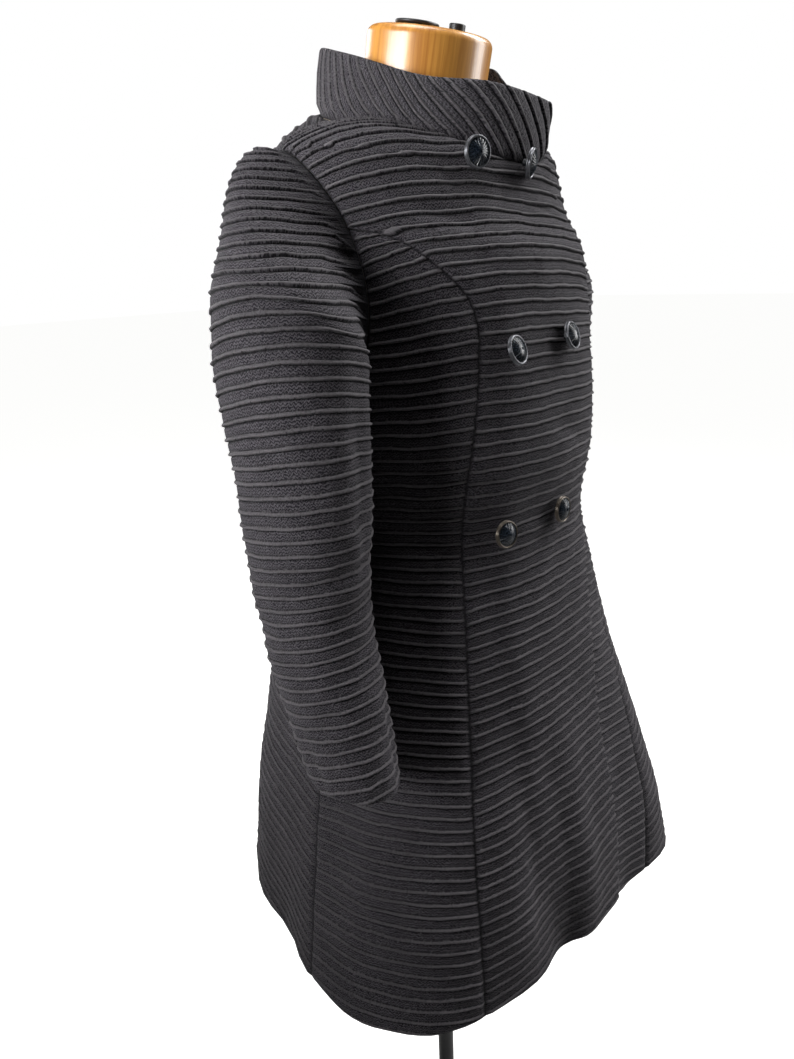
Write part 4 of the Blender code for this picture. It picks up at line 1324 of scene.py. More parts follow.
def arc(centre: Pair, radius: float, start: float, end: float, steps: int) -> Outline:
    """(radius, height) pairs round a centre, between two angles in degrees."""
    pairs = []
    for step in range(steps + 1):
        turn = math.radians(start + (end - start) * step / steps)
        pairs.append((centre[0] + radius * math.cos(turn), centre[1] + radius * math.sin(turn)))
    return pairs


@dataclass
class ShankButtons:
    """Six domed shank buttons with a double rim and radiating flutes."""

    radius: float = 0.0140
    shank_radius: float = 0.0032
    shank_foot: float = -0.0004
    back_height: float = 0.0046
    rim_radius: float = 0.0009
    rim_inside: float = 0.0098
    dome_foot: float = 0.0082
    dome_rise: float = 0.0040
    dome_rim: float = 0.0012
    dome_sink: float = 0.0009
    dome_steps: int = 12
    flutes: int = 22
    flute_start: float = 0.0012
    flute_sinks: Pair = (0.0003, 0.0005)
    flute_thickness: float = 0.00072
    flute_swirl: float = 0.0009
    segments: int = 72
    sharp_angle: float = math.radians(50.0)
    seat_rounds: int = 6
    # node, height, place aside, turn to the wearer's left, upward tip, clearance
    places: tuple[tuple[str, float, float, float, float, float], ...] = (
        ("button_1_right", 1.536, -0.060, 0.0, -24.0, 0.0013),
        ("button_1_left", 1.534, 0.001, 23.0, -12.0, 0.0026),
        ("button_2_right", 1.367, -0.068, 19.0, 12.0, 0.0018),
        ("button_2_left", 1.373, 0.013, 6.0, 10.0, 0.0012),
        ("button_3_right", 1.195, -0.076, 12.0, 6.0, 0.0038),
        ("button_3_left", 1.202, 0.003, 2.0, 6.0, 0.0024),
    )

    def base_mesh(self) -> Mesh:
        """Shank, back plate and the two raised rims, with sizes in rims' radii."""
        rim = self.rim_radius
        low = self.back_height + 1.6 * rim
        high = low + 2.5 * rim
        outline = [(self.shank_radius, self.shank_foot), (self.shank_radius, self.back_height)]
        outline += [(self.radius - 3.4 * rim, self.back_height)]
        outline += arc((self.radius - rim, low), rim, -95.0, 60.0, 8)
        outline += arc((self.radius - 1.45 * rim, high), rim, -40.0, 165.0, 10)
        outline += [(self.radius - 2.7 * rim, high - 0.2 * rim)]
        return Lathe(outline, self.segments).mesh("button base")

    def dome_height(self, radius: float) -> float:
        """Height of the dome at a radius."""
        edge = self.radius - 2.5 * self.rim_radius
        return self.dome_foot + self.dome_rise * (1.0 - (radius / edge) ** 2)

    def dome_mesh(self) -> Mesh:
        """The smooth dome under the flutes."""
        edge = self.radius - 2.5 * self.rim_radius
        outline = [(edge, self.dome_foot - self.dome_rim)]
        for step in range(self.dome_steps):
            radius = edge * math.cos(0.5 * math.pi * step / self.dome_steps)
            outline.append((radius, self.dome_height(radius) - self.dome_sink))
        return Lathe(outline, self.segments).mesh("button dome")

    def flute_tree(self, material: Material) -> NodeTree:
        """A Geometry Nodes tree that sets one tapered flute many times round the dome."""
        tree = bpy.data.node_groups.new("dome flutes", "GeometryNodeTree")
        face = tree.interface
        face.new_socket("Geometry", in_out="OUTPUT", socket_type="NodeSocketGeometry")
        face.new_socket("Count", in_out="INPUT", socket_type="NodeSocketInt")
        for name in ("Inner Radius", "Outer Radius", "Top", "Foot", "Thickness", "Swirl"):
            face.new_socket(name, in_out="INPUT", socket_type="NodeSocketFloat")
        nodes = NodeMaker(tree)
        given = nodes.add("NodeGroupInput").outputs
        inner = nodes.add("ShaderNodeCombineXYZ", X=given["Inner Radius"], Z=given["Top"])
        outer = nodes.add("ShaderNodeCombineXYZ", X=given["Outer Radius"], Z=given["Foot"])
        half = nodes.math("MULTIPLY", nodes.math(
            "ADD", given["Inner Radius"], given["Outer Radius"]), 0.55)
        lift = nodes.math("MULTIPLY_ADD", given["Foot"], 0.18, nodes.math(
            "MULTIPLY", given["Top"], 0.82))
        middle = nodes.add("ShaderNodeCombineXYZ", X=half, Y=given["Swirl"], Z=lift)
        line = nodes.add("GeometryNodeCurveQuadraticBezier", Resolution=8,
                         Start=inner.outputs[0], Middle=middle.outputs[0], End=outer.outputs[0])
        along = nodes.add("GeometryNodeSplineParameter")
        swell = nodes.math("MULTIPLY_ADD", along.outputs["Factor"], 0.75, 0.25)
        wide = nodes.add("GeometryNodeSetCurveRadius", Curve=line.outputs[0], Radius=swell)
        section = nodes.add("GeometryNodeCurvePrimitiveCircle", Resolution=6,
                            Radius=given["Thickness"])
        flute = nodes.add("GeometryNodeCurveToMesh", Curve=wide.outputs[0],
                          **{"Profile Curve": section.outputs[0], "Fill Caps": True})
        spots = nodes.add("GeometryNodePoints", Count=given["Count"])
        index = nodes.add("GeometryNodeInputIndex")
        angle = nodes.math("DIVIDE", index.outputs[0], given["Count"])
        angle = nodes.math("MULTIPLY", angle, 2.0 * math.pi)
        turn = nodes.add("ShaderNodeCombineXYZ", Z=angle)
        spread = nodes.add("GeometryNodeInstanceOnPoints", Points=spots.outputs[0],
                           Instance=flute.outputs[0], Rotation=turn.outputs[0])
        real = nodes.add("GeometryNodeRealizeInstances", Geometry=spread.outputs[0])
        done = nodes.add("GeometryNodeSetMaterial", Geometry=real.outputs[0], Material=material)
        nodes.add("NodeGroupOutput", Geometry=done.outputs[0])
        return tree

    def flute_mesh(self, material: Material) -> Mesh:
        """The flutes as a plain mesh."""
        holder = new_object("flutes", bpy.data.meshes.new("flutes"))
        live = holder.modifiers.new("flutes", "NODES")
        live.node_group = self.flute_tree(material)
        edge = self.radius - 2.9 * self.rim_radius
        sizes = {
            "Count": self.flutes,
            "Inner Radius": self.flute_start,
            "Outer Radius": edge,
            "Top": self.dome_height(self.flute_start) - self.flute_sinks[0],
            "Foot": self.dome_height(edge) - self.flute_sinks[1],
            "Thickness": self.flute_thickness,
            "Swirl": self.flute_swirl,
        }
        for item in live.node_group.interface.items_tree:
            if item.in_out == "INPUT":
                live[item.identifier] = sizes[item.name]
        graph = bpy.context.evaluated_depsgraph_get()
        mesh = bpy.data.meshes.new_from_object(holder.evaluated_get(graph))
        bpy.data.objects.remove(holder)
        return mesh

    def build(self, dome: Material, flute: Material, rims: tuple[Material, ...]) -> None:
        """Args:
            dome: Finish of the domes.
            flute: Finish of the flutes on them.
            rims: Finish of each button's rims.
        """
        base, cap, flutes = self.base_mesh(), self.dome_mesh(), self.flute_mesh(flute)
        for rim, (name, *place) in zip(rims, self.places):
            joined = bmesh.new()
            for number, part in enumerate((base, cap, flutes)):
                first = len(joined.faces)
                joined.from_mesh(part)
                joined.faces.ensure_lookup_table()
                for face in joined.faces[first:]:
                    inside = face.calc_center_median().to_2d().length < self.rim_inside
                    face.material_index = number if number > 0 or not inside else 1
                    face.smooth = True
            mesh = bpy.data.meshes.new(f"shank_{name}")
            seat, turn = self._seat(*place)
            matrix = Matrix.Translation(seat) @ turn.to_matrix().to_4x4()
            bmesh.ops.transform(joined, matrix=matrix, verts=joined.verts)
            joined.to_mesh(mesh)
            joined.free()
            for finish in (rim, dome, flute):
                mesh.materials.append(finish)
            mesh.set_sharp_from_angle(angle=self.sharp_angle)
            item = new_object(f"shank_{name}", mesh)
            declare(item, Slot.BUTTON, name)
            log.info("%s: %d faces", item.name, len(mesh.polygons))

    def _seat(self, height: float, aside: float, turn: float, tip: float,
              clearance: float) -> tuple[Vector, Quaternion]:
        """Where a button's shank meets the cloth, and how it is turned."""
        level = height
        for _ in range(self.seat_rounds):
            azimuth = float(BODY.azimuth_at(np.array(aside), np.array(level)))
            level = BODY.level_at_height(azimuth, height)
        spot, ring = np.array([azimuth]), np.array([level])
        lift = BODY.lap_lift(spot, ring) + WALL + clearance
        seat = Vector(BODY.placed(spot, ring, lift)[0])
        normal = Vector(BODY.normal(spot, ring)[0])
        flat = Vector((normal.x, normal.y, 0.0)).normalized()
        normal.rotate(Quaternion((-flat.y, flat.x, 0.0), -math.radians(tip)))
        normal.rotate(Quaternion((0.0, 0.0, 1.0), math.radians(turn)))
        return seat, normal.to_track_quat("Z", "Y")


@dataclass
class DressForm:
    """The limbless form: linen torso, wooden neck block, pole and round base."""

    neck_radius: float = 0.0615
    neck_centre: tuple[float, float, float] = (-0.002, -0.002, 1.588)
    neck_length: float = 0.073
    rounding: float = 0.008
    cap_place: Pair = (-0.010, 0.010)
    knob_place: Pair = (0.017, -0.018)
    pole_radius: float = 0.0115
    pole_top: float = 1.040
    base_radius: float = 0.165
    base_height: float = 0.022
    base_rounding: float = 0.006

    def build(self, finishes: dict[Slot, Material]) -> None:
        """Make the hard pieces and dress the torso.

        Args:
            finishes: The material of each slot.
        """
        tilt = Matrix.Translation(self.neck_centre) @ Quaternion(
            (1.0, 0.0, 0.0), NECK_TILT).to_matrix().to_4x4()
        top = self.neck_length + GAP
        pole_length = self.pole_top - self.base_height - 2.0 * GAP
        pieces = (
            ("wood_neck_block", "neck_block", Slot.WOOD, tilt,
             self.rounded(self.neck_radius, self.neck_length, self.rounding, 10)),
            ("metal_neck_cap", "neck_cap", Slot.METAL,
             tilt @ Matrix.Translation((*self.cap_place, top)),
             [(0.0085, 0.0), (0.0080, 0.004), (0.0200, 0.004),
              *arc((0.0200, 0.0055), 0.0015, -90.0, 90.0, 6)]),
            ("metal_neck_knob", "neck_knob", Slot.METAL,
             tilt @ Matrix.Translation((*self.knob_place, top)),
             [(0.0068, 0.0), (0.0068, 0.0022), (0.0080, 0.0034),
              *arc((0.0068, 0.0086), 0.0012, 0.0, 90.0, 5)]),
            ("metal_pole", "stand_pole", Slot.METAL,
             Matrix.Translation((0.0, 0.0, self.base_height + GAP)),
             [(self.pole_radius, 0.0), (self.pole_radius, pole_length)]),
            ("metal_base", "stand_base", Slot.METAL, Matrix.Identity(4),
             self.rounded(self.base_radius, self.base_height, self.base_rounding, 8)),
        )
        for name, node, slot, place, outline in pieces:
            mesh = Lathe(outline).mesh(name)
            mesh.transform(place)
            mesh.materials.append(finishes[slot])
            declare(new_object(name, mesh), slot, node)
        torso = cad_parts["form_torso"]
        torso.data.materials.clear()
        torso.data.materials.append(finishes[Slot.LINEN])

    @staticmethod
    def rounded(radius: float, height: float, rounding: float, steps: int) -> Outline:
        """Outline of a disc or block whose upper edge is rounded."""
        centre = (radius - rounding, height - rounding)
        return [(radius, 0.0)] + arc(centre, rounding, 0.0, 90.0, steps)


class NodeMaker:
    """Adds nodes to a tree and joins them by the names of their sockets."""

    def __init__(self, tree: NodeTree) -> None:
        """Work on a tree."""
        self.tree = tree

    def feed(self, socket: NodeSocket, value: object) -> None:
        """Link a socket to another one, or set its value."""
        if isinstance(value, NodeSocket):
            self.tree.links.new(value, socket)
        else:
            socket.default_value = value

    def add(self, kind: str, settings: dict[str, object] | None = None, **inputs: object) -> Node:
        """A node with its settings and inputs."""
        node = self.tree.nodes.new(kind)
        for name, value in (settings or {}).items():
            setattr(node, name, value)
        self.fill(node, inputs)
        return node

    def fill(self, node: Node, values: dict[str, object]) -> None:
        """Feed a node's sockets by their names."""
        for name, value in values.items():
            self.feed(node.inputs[name], value)

    def math(self, operation: str, first: object, second: object = None,
             third: object = None, clamp: bool = False) -> NodeSocket:
        """The result of a sum."""
        node = self.add("ShaderNodeMath", {"operation": operation, "use_clamp": clamp})
        for number, value in enumerate((first, second, third)):
            if value is not None:
                self.feed(node.inputs[number], value)
        return node.outputs[0]

    def ramp(self, value: object, low: float, high: float) -> NodeSocket:
        """0 at low, 1 at high and a soft rise between."""
        node = self.add("ShaderNodeMapRange", {"interpolation_type": "SMOOTHSTEP"},
                        **{"Value": value, "From Min": low, "From Max": high})
        return node.outputs[0]

    def mix(self, share: object, first: object, second: object) -> NodeSocket:
        """A colour between two."""
        node = self.add("ShaderNodeMix", {"data_type": "RGBA"})
        for number, value in ((0, share), (6, first), (7, second)):
            self.feed(node.inputs[number], value)
        return node.outputs[2]

    def noise(self, vector: object, scale: float, detail: float = 3.0,
              rough: float = 0.55) -> NodeSocket:
        """Fractal noise around a half."""
        node = self.add("ShaderNodeTexNoise", Vector=vector, Scale=scale, Detail=detail,
                        Roughness=rough)
        return node.outputs[0]

    def stretched(self, vector: object, scale: tuple[float, float, float],
                  rotation: tuple[float, float, float] = (0.0, 0.0, 0.0)) -> NodeSocket:
        """Coordinates scaled and turned."""
        node = self.add("ShaderNodeMapping", Vector=vector, Scale=scale, Rotation=rotation)
        return node.outputs[0]

    def fibres(self, vector: object, scale: tuple[float, float, float], detail: float = 3.0,
               rough: float = 0.55) -> NodeSocket:
        """Fractal noise with a scale of its own along each axis."""
        return self.noise(self.stretched(vector, scale), 1.0, detail, rough)

    def bump(self, height: object, strength: float, distance: float) -> NodeSocket:
        """Normals that follow a height."""
        node = self.add("ShaderNodeBump", Strength=strength, Distance=distance, Height=height)
        return node.outputs[0]

    def spot(self) -> NodeSocket:
        """Coordinates of the piece itself."""
        return self.add("ShaderNodeTexCoord").outputs["Object"]

    def seen(self) -> NodeSocket:
        """1 for what the camera sees itself."""
        return self.add("ShaderNodeLightPath").outputs["Is Camera Ray"]


def new_group(name: str, inputs: tuple[tuple[str, str], ...],
              outputs: tuple[tuple[str, str], ...]) -> tuple[NodeMaker, object, Node]:
    """A shader node group.

    Args:
        name: Its name.
        inputs: Name and kind of each input.
        outputs: Name and kind of each output.

    Returns:
        A maker of its nodes, its input sockets and its output node.
    """
    group = bpy.data.node_groups.new(name, "ShaderNodeTree")
    for way, sockets in (("INPUT", inputs), ("OUTPUT", outputs)):
        for label, kind in sockets:
            group.interface.new_socket(label, in_out=way, socket_type=f"NodeSocket{kind}")
    nodes = NodeMaker(group)
    return nodes, nodes.add("NodeGroupInput").outputs, nodes.add("NodeGroupOutput")


def new_material(name: str) -> tuple[Material, NodeMaker, Node]:
    """A material with its node maker and its Principled shader."""
    material = bpy.data.materials.new(name)
    material.use_nodes = True
    nodes = NodeMaker(material.node_tree)
    return material, nodes, material.node_tree.nodes["Principled BSDF"]


@dataclass(frozen=True)
class RibbedWeave:
    """Masks and height of the ribbed cloth from its place in the cut.

    Pairs of numbers are shares of the repeat where a mask is 0 and where it is 1.
    """

    rib_foot: Pair = (0.02, 0.07)
    rib_head: Pair = (0.33, 0.27)
    # painted shadow: the rib's foot and the band's top just under the next rib are painted dark,
    # as the shadow that each rib casts
    low_groove_shadow: Pair = (0.04, -0.01)
    high_groove_shadow: Pair = (0.88, 0.95)
    # the fine line of painted shade in the dip over the rib: its place, how far it reaches, where
    # it breaks, its share
    line_place: float = 0.315
    line_reach: Pair = (0.058, 0.026)
    line_breaks: Pair = (0.30, 0.50)
    line_share: float = 0.88
    # teeth along the rib's edges and the painted shadow under it: width and height, then the share
    # and shift of the noise
    tooth: float = 0.0015
    tooth_height: float = -16.0
    ragged: float = 0.62
    ragged_shift: float = -0.37
    wander: float = 0.14
    # zigzag threads between the ribs: half their width, a row's height and their wander
    zigzag: float = 0.0018
    zigzag_row: float = 0.0026
    zigzag_wander: float = 0.011
    zigzag_grain: float = 13.0
    # painted shade: the band is painted dark between its raised zigzag studs; the specks are the
    # fibres' own darker tone
    stud: Pair = (-0.50, 0.60)
    speck: Pair = (0.56, 0.36)
    band_shade: float = 0.92
    speck_dark: float = 0.44
    # shares of the bump's height
    thread_height: float = 0.40
    stud_height: float = 0.70
    groove_depth: float = 0.70
    rib_height: float = 0.60

    def group(self) -> NodeTree:
        """The node group."""
        nodes, given, result = new_group(
            "ribbed weave",
            (("Place", "Vector"), ("Pitch", "Float")),
            (("Rib", "Float"), ("Groove Shadow", "Float"), ("Dark", "Float"), ("Height", "Float")))
        split = nodes.add("ShaderNodeSeparateXYZ", Vector=given["Place"])
        along, over = split.outputs[0], split.outputs[1]
        repeat = nodes.math("FRACT", nodes.math("DIVIDE", over, given["Pitch"]))
        ragged = nodes.fibres(given["Place"], (520.0, 180.0, 1.0), 3.0)
        wander = nodes.fibres(given["Place"], (110.0, 60.0, 1.0), 2.0)
        thread = nodes.fibres(given["Place"], (1300.0, 600.0, 1.0), 3.0, 0.65)
        grain = nodes.fibres(given["Place"], (560.0, 460.0, 1.0), 3.0, 0.7)
        shift = nodes.math("MULTIPLY_ADD", ragged, self.ragged, self.ragged_shift)
        shift = nodes.math("MULTIPLY_ADD", wander, self.wander, shift)
        tooth = nodes.math("PINGPONG", along, self.tooth)
        shift = nodes.math("MULTIPLY_ADD", tooth, self.tooth_height, shift)
        place = nodes.math("ADD", repeat, nodes.math("MINIMUM", shift, 0.0))
        rib = nodes.math("MULTIPLY", nodes.ramp(place, *self.rib_foot),
                         nodes.ramp(place, *self.rib_head))
        # painted shadow under each rib, then a broken fine line of painted shade in the dip over
        # the rib
        deep = nodes.math("MAXIMUM", nodes.ramp(place, *self.low_groove_shadow),
                          nodes.ramp(place, *self.high_groove_shadow))
        off = nodes.math("ABSOLUTE", nodes.math("SUBTRACT", place, self.line_place))
        line = nodes.math("MULTIPLY", nodes.ramp(off, *self.line_reach),
                          nodes.ramp(ragged, *self.line_breaks))
        groove_shadow = nodes.math("MAXIMUM", deep, nodes.math("MULTIPLY", line, self.line_share))
        zigzag = nodes.math("MULTIPLY_ADD", wander, self.zigzag_wander, along)
        zigzag = nodes.math("ADD", nodes.math("PINGPONG", zigzag, self.zigzag), over)
        zigzag = nodes.math("MULTIPLY", zigzag, 2.0 * math.pi / self.zigzag_row)
        zigzag = nodes.math("MULTIPLY_ADD", grain, self.zigzag_grain, zigzag)
        bare = nodes.math("SUBTRACT", 1.0, rib)
        stud = nodes.math("MULTIPLY", nodes.ramp(nodes.math("SINE", zigzag), *self.stud), bare)
        height = nodes.math("MULTIPLY_ADD", thread, self.thread_height,
                            nodes.math("MULTIPLY", stud, self.stud_height))
        height = nodes.math("SUBTRACT", height, nodes.math("MULTIPLY", groove_shadow, self.groove_depth))
        height = nodes.math("MULTIPLY_ADD", rib, self.rib_height, height)
        # painted shade in the band between its raised studs, then the fibres' own darker specks
        dark = nodes.math("MULTIPLY", nodes.math("SUBTRACT", bare, stud), self.band_shade)
        dark = nodes.math("MULTIPLY_ADD", nodes.ramp(grain, *self.speck), self.speck_dark, dark,
                          clamp=True)
        nodes.fill(result, {"Rib": rib, "Groove Shadow": groove_shadow, "Dark": dark, "Height": height})
        return nodes.tree


@dataclass(frozen=True)
class WoolFinish:
    """Charcoal wool: smooth ribs and pebbly bands between grooves painted dark as the ribs'
    shadow.
    """

    rib: Colour = (0.079, 0.073, 0.079, 1.0)
    band: Colour = (0.086, 0.078, 0.090, 1.0)
    # colour of the painted shadow in the grooves and of the painted shade along the seams
    groove_shadow: Colour = (0.0050, 0.0043, 0.0066, 1.0)
    # colour of the painted shade between the band's studs, and of the cloth's own darker specks
    # and clouds
    dark: Colour = (0.0072, 0.0061, 0.0090, 1.0)

    def material(self, weave: NodeTree) -> Material:
        """The finish."""
        material, nodes, shader = new_material("ribbed_cloth")
        place = nodes.add("ShaderNodeUVMap", {"uv_map": "cloth"}).outputs[0]
        woven = nodes.add("ShaderNodeGroup", {"node_tree": weave},
                          Place=place, Pitch=WOOL.pitch).outputs
        cloudy = nodes.fibres(place, (14.0, 14.0, 1.0), 4.0)
        # painted shade: the seam attribute darkens the cloth along every seam
        seam = nodes.add("ShaderNodeAttribute", {"attribute_name": "seam"}).outputs["Fac"]
        base = nodes.mix(woven["Rib"], self.band, self.rib)
        # painted shade between the band's studs and the fibres' real specks, in the dark colour
        base = nodes.mix(woven["Dark"], base, self.dark)
        base = nodes.mix(nodes.math("MULTIPLY", nodes.ramp(cloudy, 0.35, 0.75), 0.25),
                         base, self.dark)
        # painted shade: the grooves' painted shadow and the seams' painted shade take the cloth to
        # the groove colour
        sunk = nodes.math("MAXIMUM", woven["Groove Shadow"], nodes.math("MULTIPLY", seam, 0.85))
        nodes.fill(shader, {
            "Base Color": nodes.mix(sunk, base, self.groove_shadow),
            "Roughness": nodes.math("MULTIPLY_ADD", woven["Dark"], 0.12, 0.80),
            "Sheen Weight": 0.05,
            "Sheen Roughness": 0.45,
            "Specular IOR Level": 0.25,
            "Normal": nodes.bump(woven["Height"], 1.0, 0.00080),
        })
        return material


@dataclass(frozen=True)
class ButtonFinish:
    """Blue-black lacquer on the domes and worn plate on the rims."""

    lacquer: Colour = (0.003, 0.005, 0.009, 1.0)
    # lighter scuffed lacquer: real wear, and on the flutes also a painted highlight
    scuff_and_highlight: Colour = (0.030, 0.045, 0.065, 1.0)

    def lacquered(self, name: str, wear_and_highlight_from: float, rough: float) -> Material:
        """Finish of the dome or its flutes; a lower limit gives more scuffed wear, which on the
        flutes is also a painted highlight along their ridges.
        """
        material, nodes, shader = new_material(name)
        spot = nodes.spot()
        # scuffs: partly real wear, and on the flutes partly a painted highlight along the ridges
        wear = nodes.ramp(nodes.noise(spot, 900.0, 4.0), wear_and_highlight_from, wear_and_highlight_from + 0.30)
        nodes.fill(shader, {
            "Base Color": nodes.mix(wear, self.lacquer, self.scuff_and_highlight),
            "Roughness": nodes.math("MULTIPLY_ADD", wear, 0.15, rough),
        })
        return material

    def rim(self, name: str, plate: Colour) -> Material:
        """Finish of the rims in a plate colour."""
        material, nodes, shader = new_material(name)
        spot = nodes.spot()
        wear = nodes.ramp(nodes.noise(spot, 420.0, 4.0, 0.7), 0.50, 0.72)
        dull = tuple(0.25 * part for part in plate[:3]) + (1.0,)
        nodes.fill(shader, {
            "Base Color": nodes.mix(wear, plate, dull),
            "Roughness": nodes.math("MULTIPLY_ADD", wear, 0.30, 0.30),
            "Metallic": 0.7,
        })
        return material


@dataclass(frozen=True)
class WoodFinish:
    """Honey-coloured wood with upright grain under gloss varnish."""

    light: Colour = (0.60, 0.29, 0.060, 1.0)
    deep: Colour = (0.36, 0.135, 0.022, 1.0)

    def material(self) -> Material:
        """The finish."""
        material, nodes, shader = new_material("varnished_wood")
        spot = nodes.spot()
        upright = nodes.stretched(spot, (1.0, 1.0, 1.0), (-NECK_TILT, 0.0, 0.0))
        broad = nodes.fibres(upright, (22.0, 30.0, 2.2), 3.0)
        fibre = nodes.fibres(upright, (260.0, 260.0, 9.0), 4.0, 0.65)
        pores = nodes.fibres(upright, (900.0, 900.0, 26.0), 2.0)
        grain = nodes.math("MULTIPLY_ADD", fibre, 0.65, nodes.math("MULTIPLY", broad, 0.65))
        colour = nodes.mix(nodes.ramp(grain, 0.48, 0.86), self.light, self.deep)
        colour = nodes.mix(nodes.math("MULTIPLY", nodes.ramp(pores, 0.58, 0.72), 0.45),
                           colour, self.deep)
        nodes.fill(shader, {
            "Base Color": colour,
            "Roughness": nodes.math("MULTIPLY_ADD", fibre, 0.15, 0.28),
            "Coat Weight": 0.5,
            "Coat Roughness": 0.16,
            "Normal": nodes.bump(fibre, 0.12, 0.0002),
        })
        return material


@dataclass(frozen=True)
class LinenFinish:
    """Plain natural linen stretched over the torso."""

    thread: Colour = (0.60, 0.53, 0.42, 1.0)
    slub: Colour = (0.42, 0.35, 0.26, 1.0)

    def material(self) -> Material:
        """The finish."""
        material, nodes, shader = new_material("form_linen")
        spot = nodes.spot()
        weft = nodes.fibres(spot, (90.0, 90.0, 1400.0), 2.0)
        warp = nodes.fibres(spot, (1100.0, 1100.0, 70.0), 2.0)
        cloth = nodes.math("ADD", nodes.math("MULTIPLY", weft, 0.5),
                           nodes.math("MULTIPLY", warp, 0.5))
        nodes.fill(shader, {
            "Base Color": nodes.mix(nodes.ramp(cloth, 0.42, 0.62), self.slub, self.thread),
            "Roughness": 0.92,
            "Sheen Weight": 0.15,
            "Normal": nodes.bump(cloth, 0.4, 0.0004),
        })
        return material


@dataclass(frozen=True)
class MetalFinish:
    """Satin black powder coat."""

    colour: Colour = (0.018, 0.018, 0.020, 1.0)
    worn: Colour = (0.045, 0.044, 0.043, 1.0)

    def material(self) -> Material:
        """The finish."""
        material, nodes, shader = new_material("dark_metal")
        spot = nodes.spot()
        cloudy = nodes.ramp(nodes.noise(spot, 18.0, 4.0), 0.40, 0.80)
        nodes.fill(shader, {
            "Base Color": nodes.mix(cloudy, self.colour, self.worn),
            "Roughness": nodes.math("MULTIPLY_ADD", cloudy, 0.15, 0.38),
            "Metallic": 0.4,
            "Normal": nodes.bump(nodes.noise(spot, 1800.0, 2.0), 0.25, 0.0002),
        })
        return material


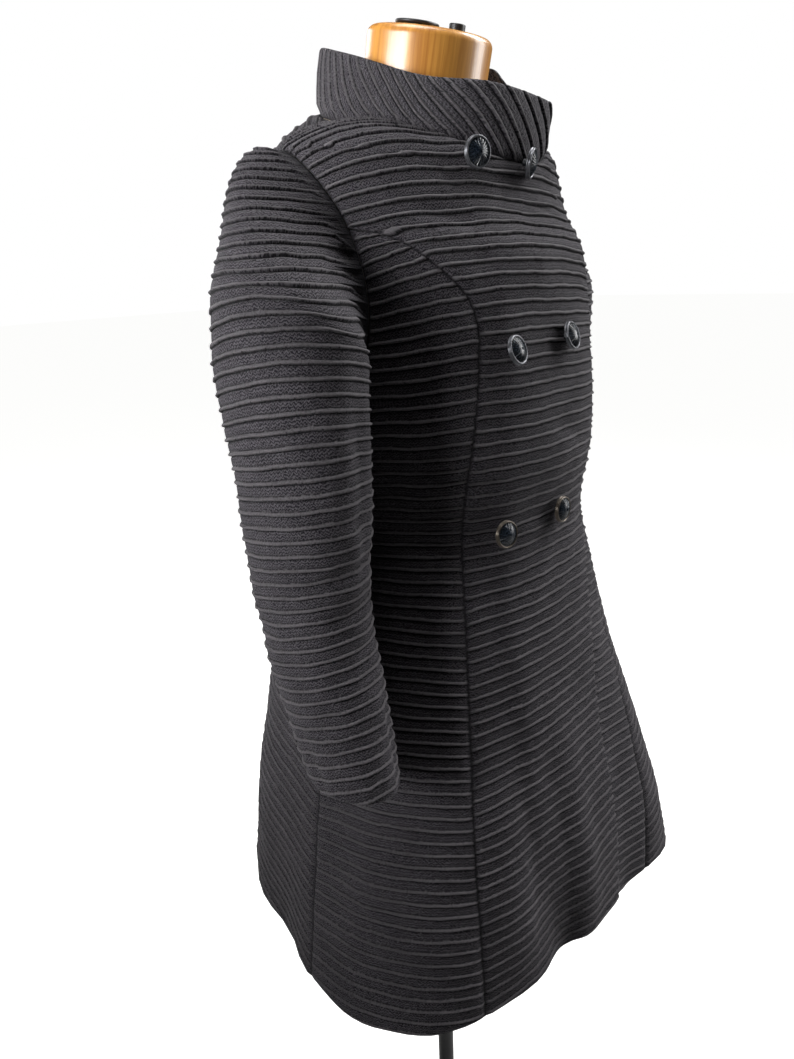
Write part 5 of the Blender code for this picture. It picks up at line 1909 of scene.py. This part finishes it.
@dataclass
class Studio:
    """Pale floor, soft light and the camera at the photograph's angle."""

    eye: tuple[float, float, float] = (-0.6604, -0.5710, 1.4447)
    aim_turn: float = math.radians(2.77)
    pitch: float = math.radians(18.9)
    roll: float = math.radians(-2.47)
    focal_share: float = 763.8 / 1059.0
    sensor: float = 36.0
    sky: float = 0.004
    floor_half: float = 30.0
    # name, place, what it looks at, width, height, spread in degrees, watts
    lights: tuple[tuple[str, tuple[float, float, float], tuple[float, float, float],
                        float, float, float, float], ...] = (
        ("left window", (-2.0, 0.2, 1.75), (0.0, 0.0, 1.50), 0.7, 0.8, 54.0, 4.4),
        ("far left window", (-1.7, 0.8, 1.75), (0.0, 0.0, 1.46), 0.7, 0.8, 56.0, 3.8),
        ("overhead", (-0.2, 0.0, 3.1), (0.0, 0.0, 1.20), 1.0, 1.0, 180.0, 25.0),
        ("high right window", (1.4, -0.6, 2.9), (0.0, 0.0, 1.20), 1.0, 1.0, 180.0, 42.0),
        ("right window", (2.3, -1.6, 2.0), (0.0, 0.0, 1.20), 1.2, 1.8, 180.0, 56.0),
        ("back window", (0.7, 2.8, 2.1), (0.0, 0.0, 1.20), 1.4, 1.6, 180.0, 30.0),
    )

    def camera(self) -> None:
        """Put the camera in its place."""
        eye, upright = Vector(self.eye), Vector(UP)
        ahead = Vector((-eye.x, -eye.y, 0.0)).normalized()
        ahead = Matrix.Rotation(self.aim_turn, 3, "Z") @ ahead
        forward = math.cos(self.pitch) * ahead - math.sin(self.pitch) * upright
        right = forward.cross(upright).normalized()
        up = right.cross(forward)
        turned_right = math.cos(self.roll) * right + math.sin(self.roll) * up
        turned_up = -math.sin(self.roll) * right + math.cos(self.roll) * up
        data = bpy.data.cameras.new("photo view")
        data.sensor_fit = "VERTICAL"
        data.sensor_height = self.sensor
        data.lens = self.focal_share * self.sensor
        data.clip_start = 0.01
        item = new_object("photo view", data)
        turn = Matrix((turned_right, turned_up, -forward)).transposed().to_4x4()
        item.matrix_world = Matrix.Translation(eye) @ turn
        bpy.context.scene.camera = item

    def floor(self) -> None:
        """A pale floor that the stand rests on."""
        mesh = bpy.data.meshes.new("floor")
        half = self.floor_half
        mesh.from_pydata([(-half, -half, 0.0), (half, -half, 0.0), (half, half, 0.0),
                          (-half, half, 0.0)], [], [(0, 1, 2, 3)])
        material, nodes, shader = new_material("pale floor")
        nodes.fill(shader, {
            "Base Color": (0.70, 0.70, 0.69, 1.0),
            "Roughness": 0.9,
            "Emission Color": (1.0, 1.0, 0.99, 1.0),
            "Emission Strength": nodes.math("MULTIPLY", nodes.seen(), 0.975),
        })
        mesh.materials.append(material)
        new_object("floor", mesh)

    def build(self) -> None:
        """Make everything that isn't part of the object."""
        self.camera()
        self.floor()
        world = bpy.data.worlds.new("studio")
        bpy.context.scene.world = world
        world.use_nodes = True
        nodes = NodeMaker(world.node_tree)
        nodes.fill(world.node_tree.nodes["Background"], {
            "Color": (1.0, 1.0, 1.0, 1.0),
            "Strength": nodes.math("MULTIPLY_ADD", nodes.seen(), 1.0 - self.sky, self.sky),
        })
        for name, place, target, width, height, spread, watts in self.lights:
            data = bpy.data.lights.new(name, "AREA")
            data.shape = "RECTANGLE"
            data.size = width
            data.size_y = height
            data.spread = math.radians(spread)
            data.energy = watts
            way = Vector(target) - Vector(place)
            new_object(name, data).matrix_world = Matrix.Translation(place) @ way.to_track_quat(
                "-Z", "Y").to_matrix().to_4x4()
        bpy.context.scene.view_settings.view_transform = "Standard"


def main() -> None:
    """Build and dress every piece."""
    logging.basicConfig(level=logging.INFO, format="%(message)s")
    finish = ButtonFinish()
    finishes = {
        Slot.CLOTH: WoolFinish().material(RibbedWeave().group()),
        Slot.LINEN: LinenFinish().material(),
        Slot.WOOD: WoodFinish().material(),
        Slot.METAL: MetalFinish().material(),
    }
    silver = finish.rim("button_rim", (0.100, 0.102, 0.112, 1.0))
    bronze = finish.rim("button_rim_bronze", (0.105, 0.088, 0.072, 1.0))
    CoatBody().build(finishes[Slot.CLOTH])
    for sleeve in (Sleeve("cloth_sleeve_right", "sleeve_right", 1, "cloth_side_right"),
                   Sleeve("cloth_sleeve_left", "sleeve_left", -1, "cloth_side_left")):
        sleeve.build(finishes[Slot.CLOTH])
    Collar().build(finishes[Slot.CLOTH])
    # the flutes' lower limit gives them more of the lighter colour: scuffs and a painted highlight
    # along their ridges
    ShankButtons().build(finish.lacquered("button_dome", 0.62, 0.55),
                         finish.lacquered("button_flute", 0.42, 0.24),
                         (silver,) * 4 + (bronze,) * 2)
    DressForm().build(finishes)
    Studio().build()


if __name__ == "__main__":
    main()
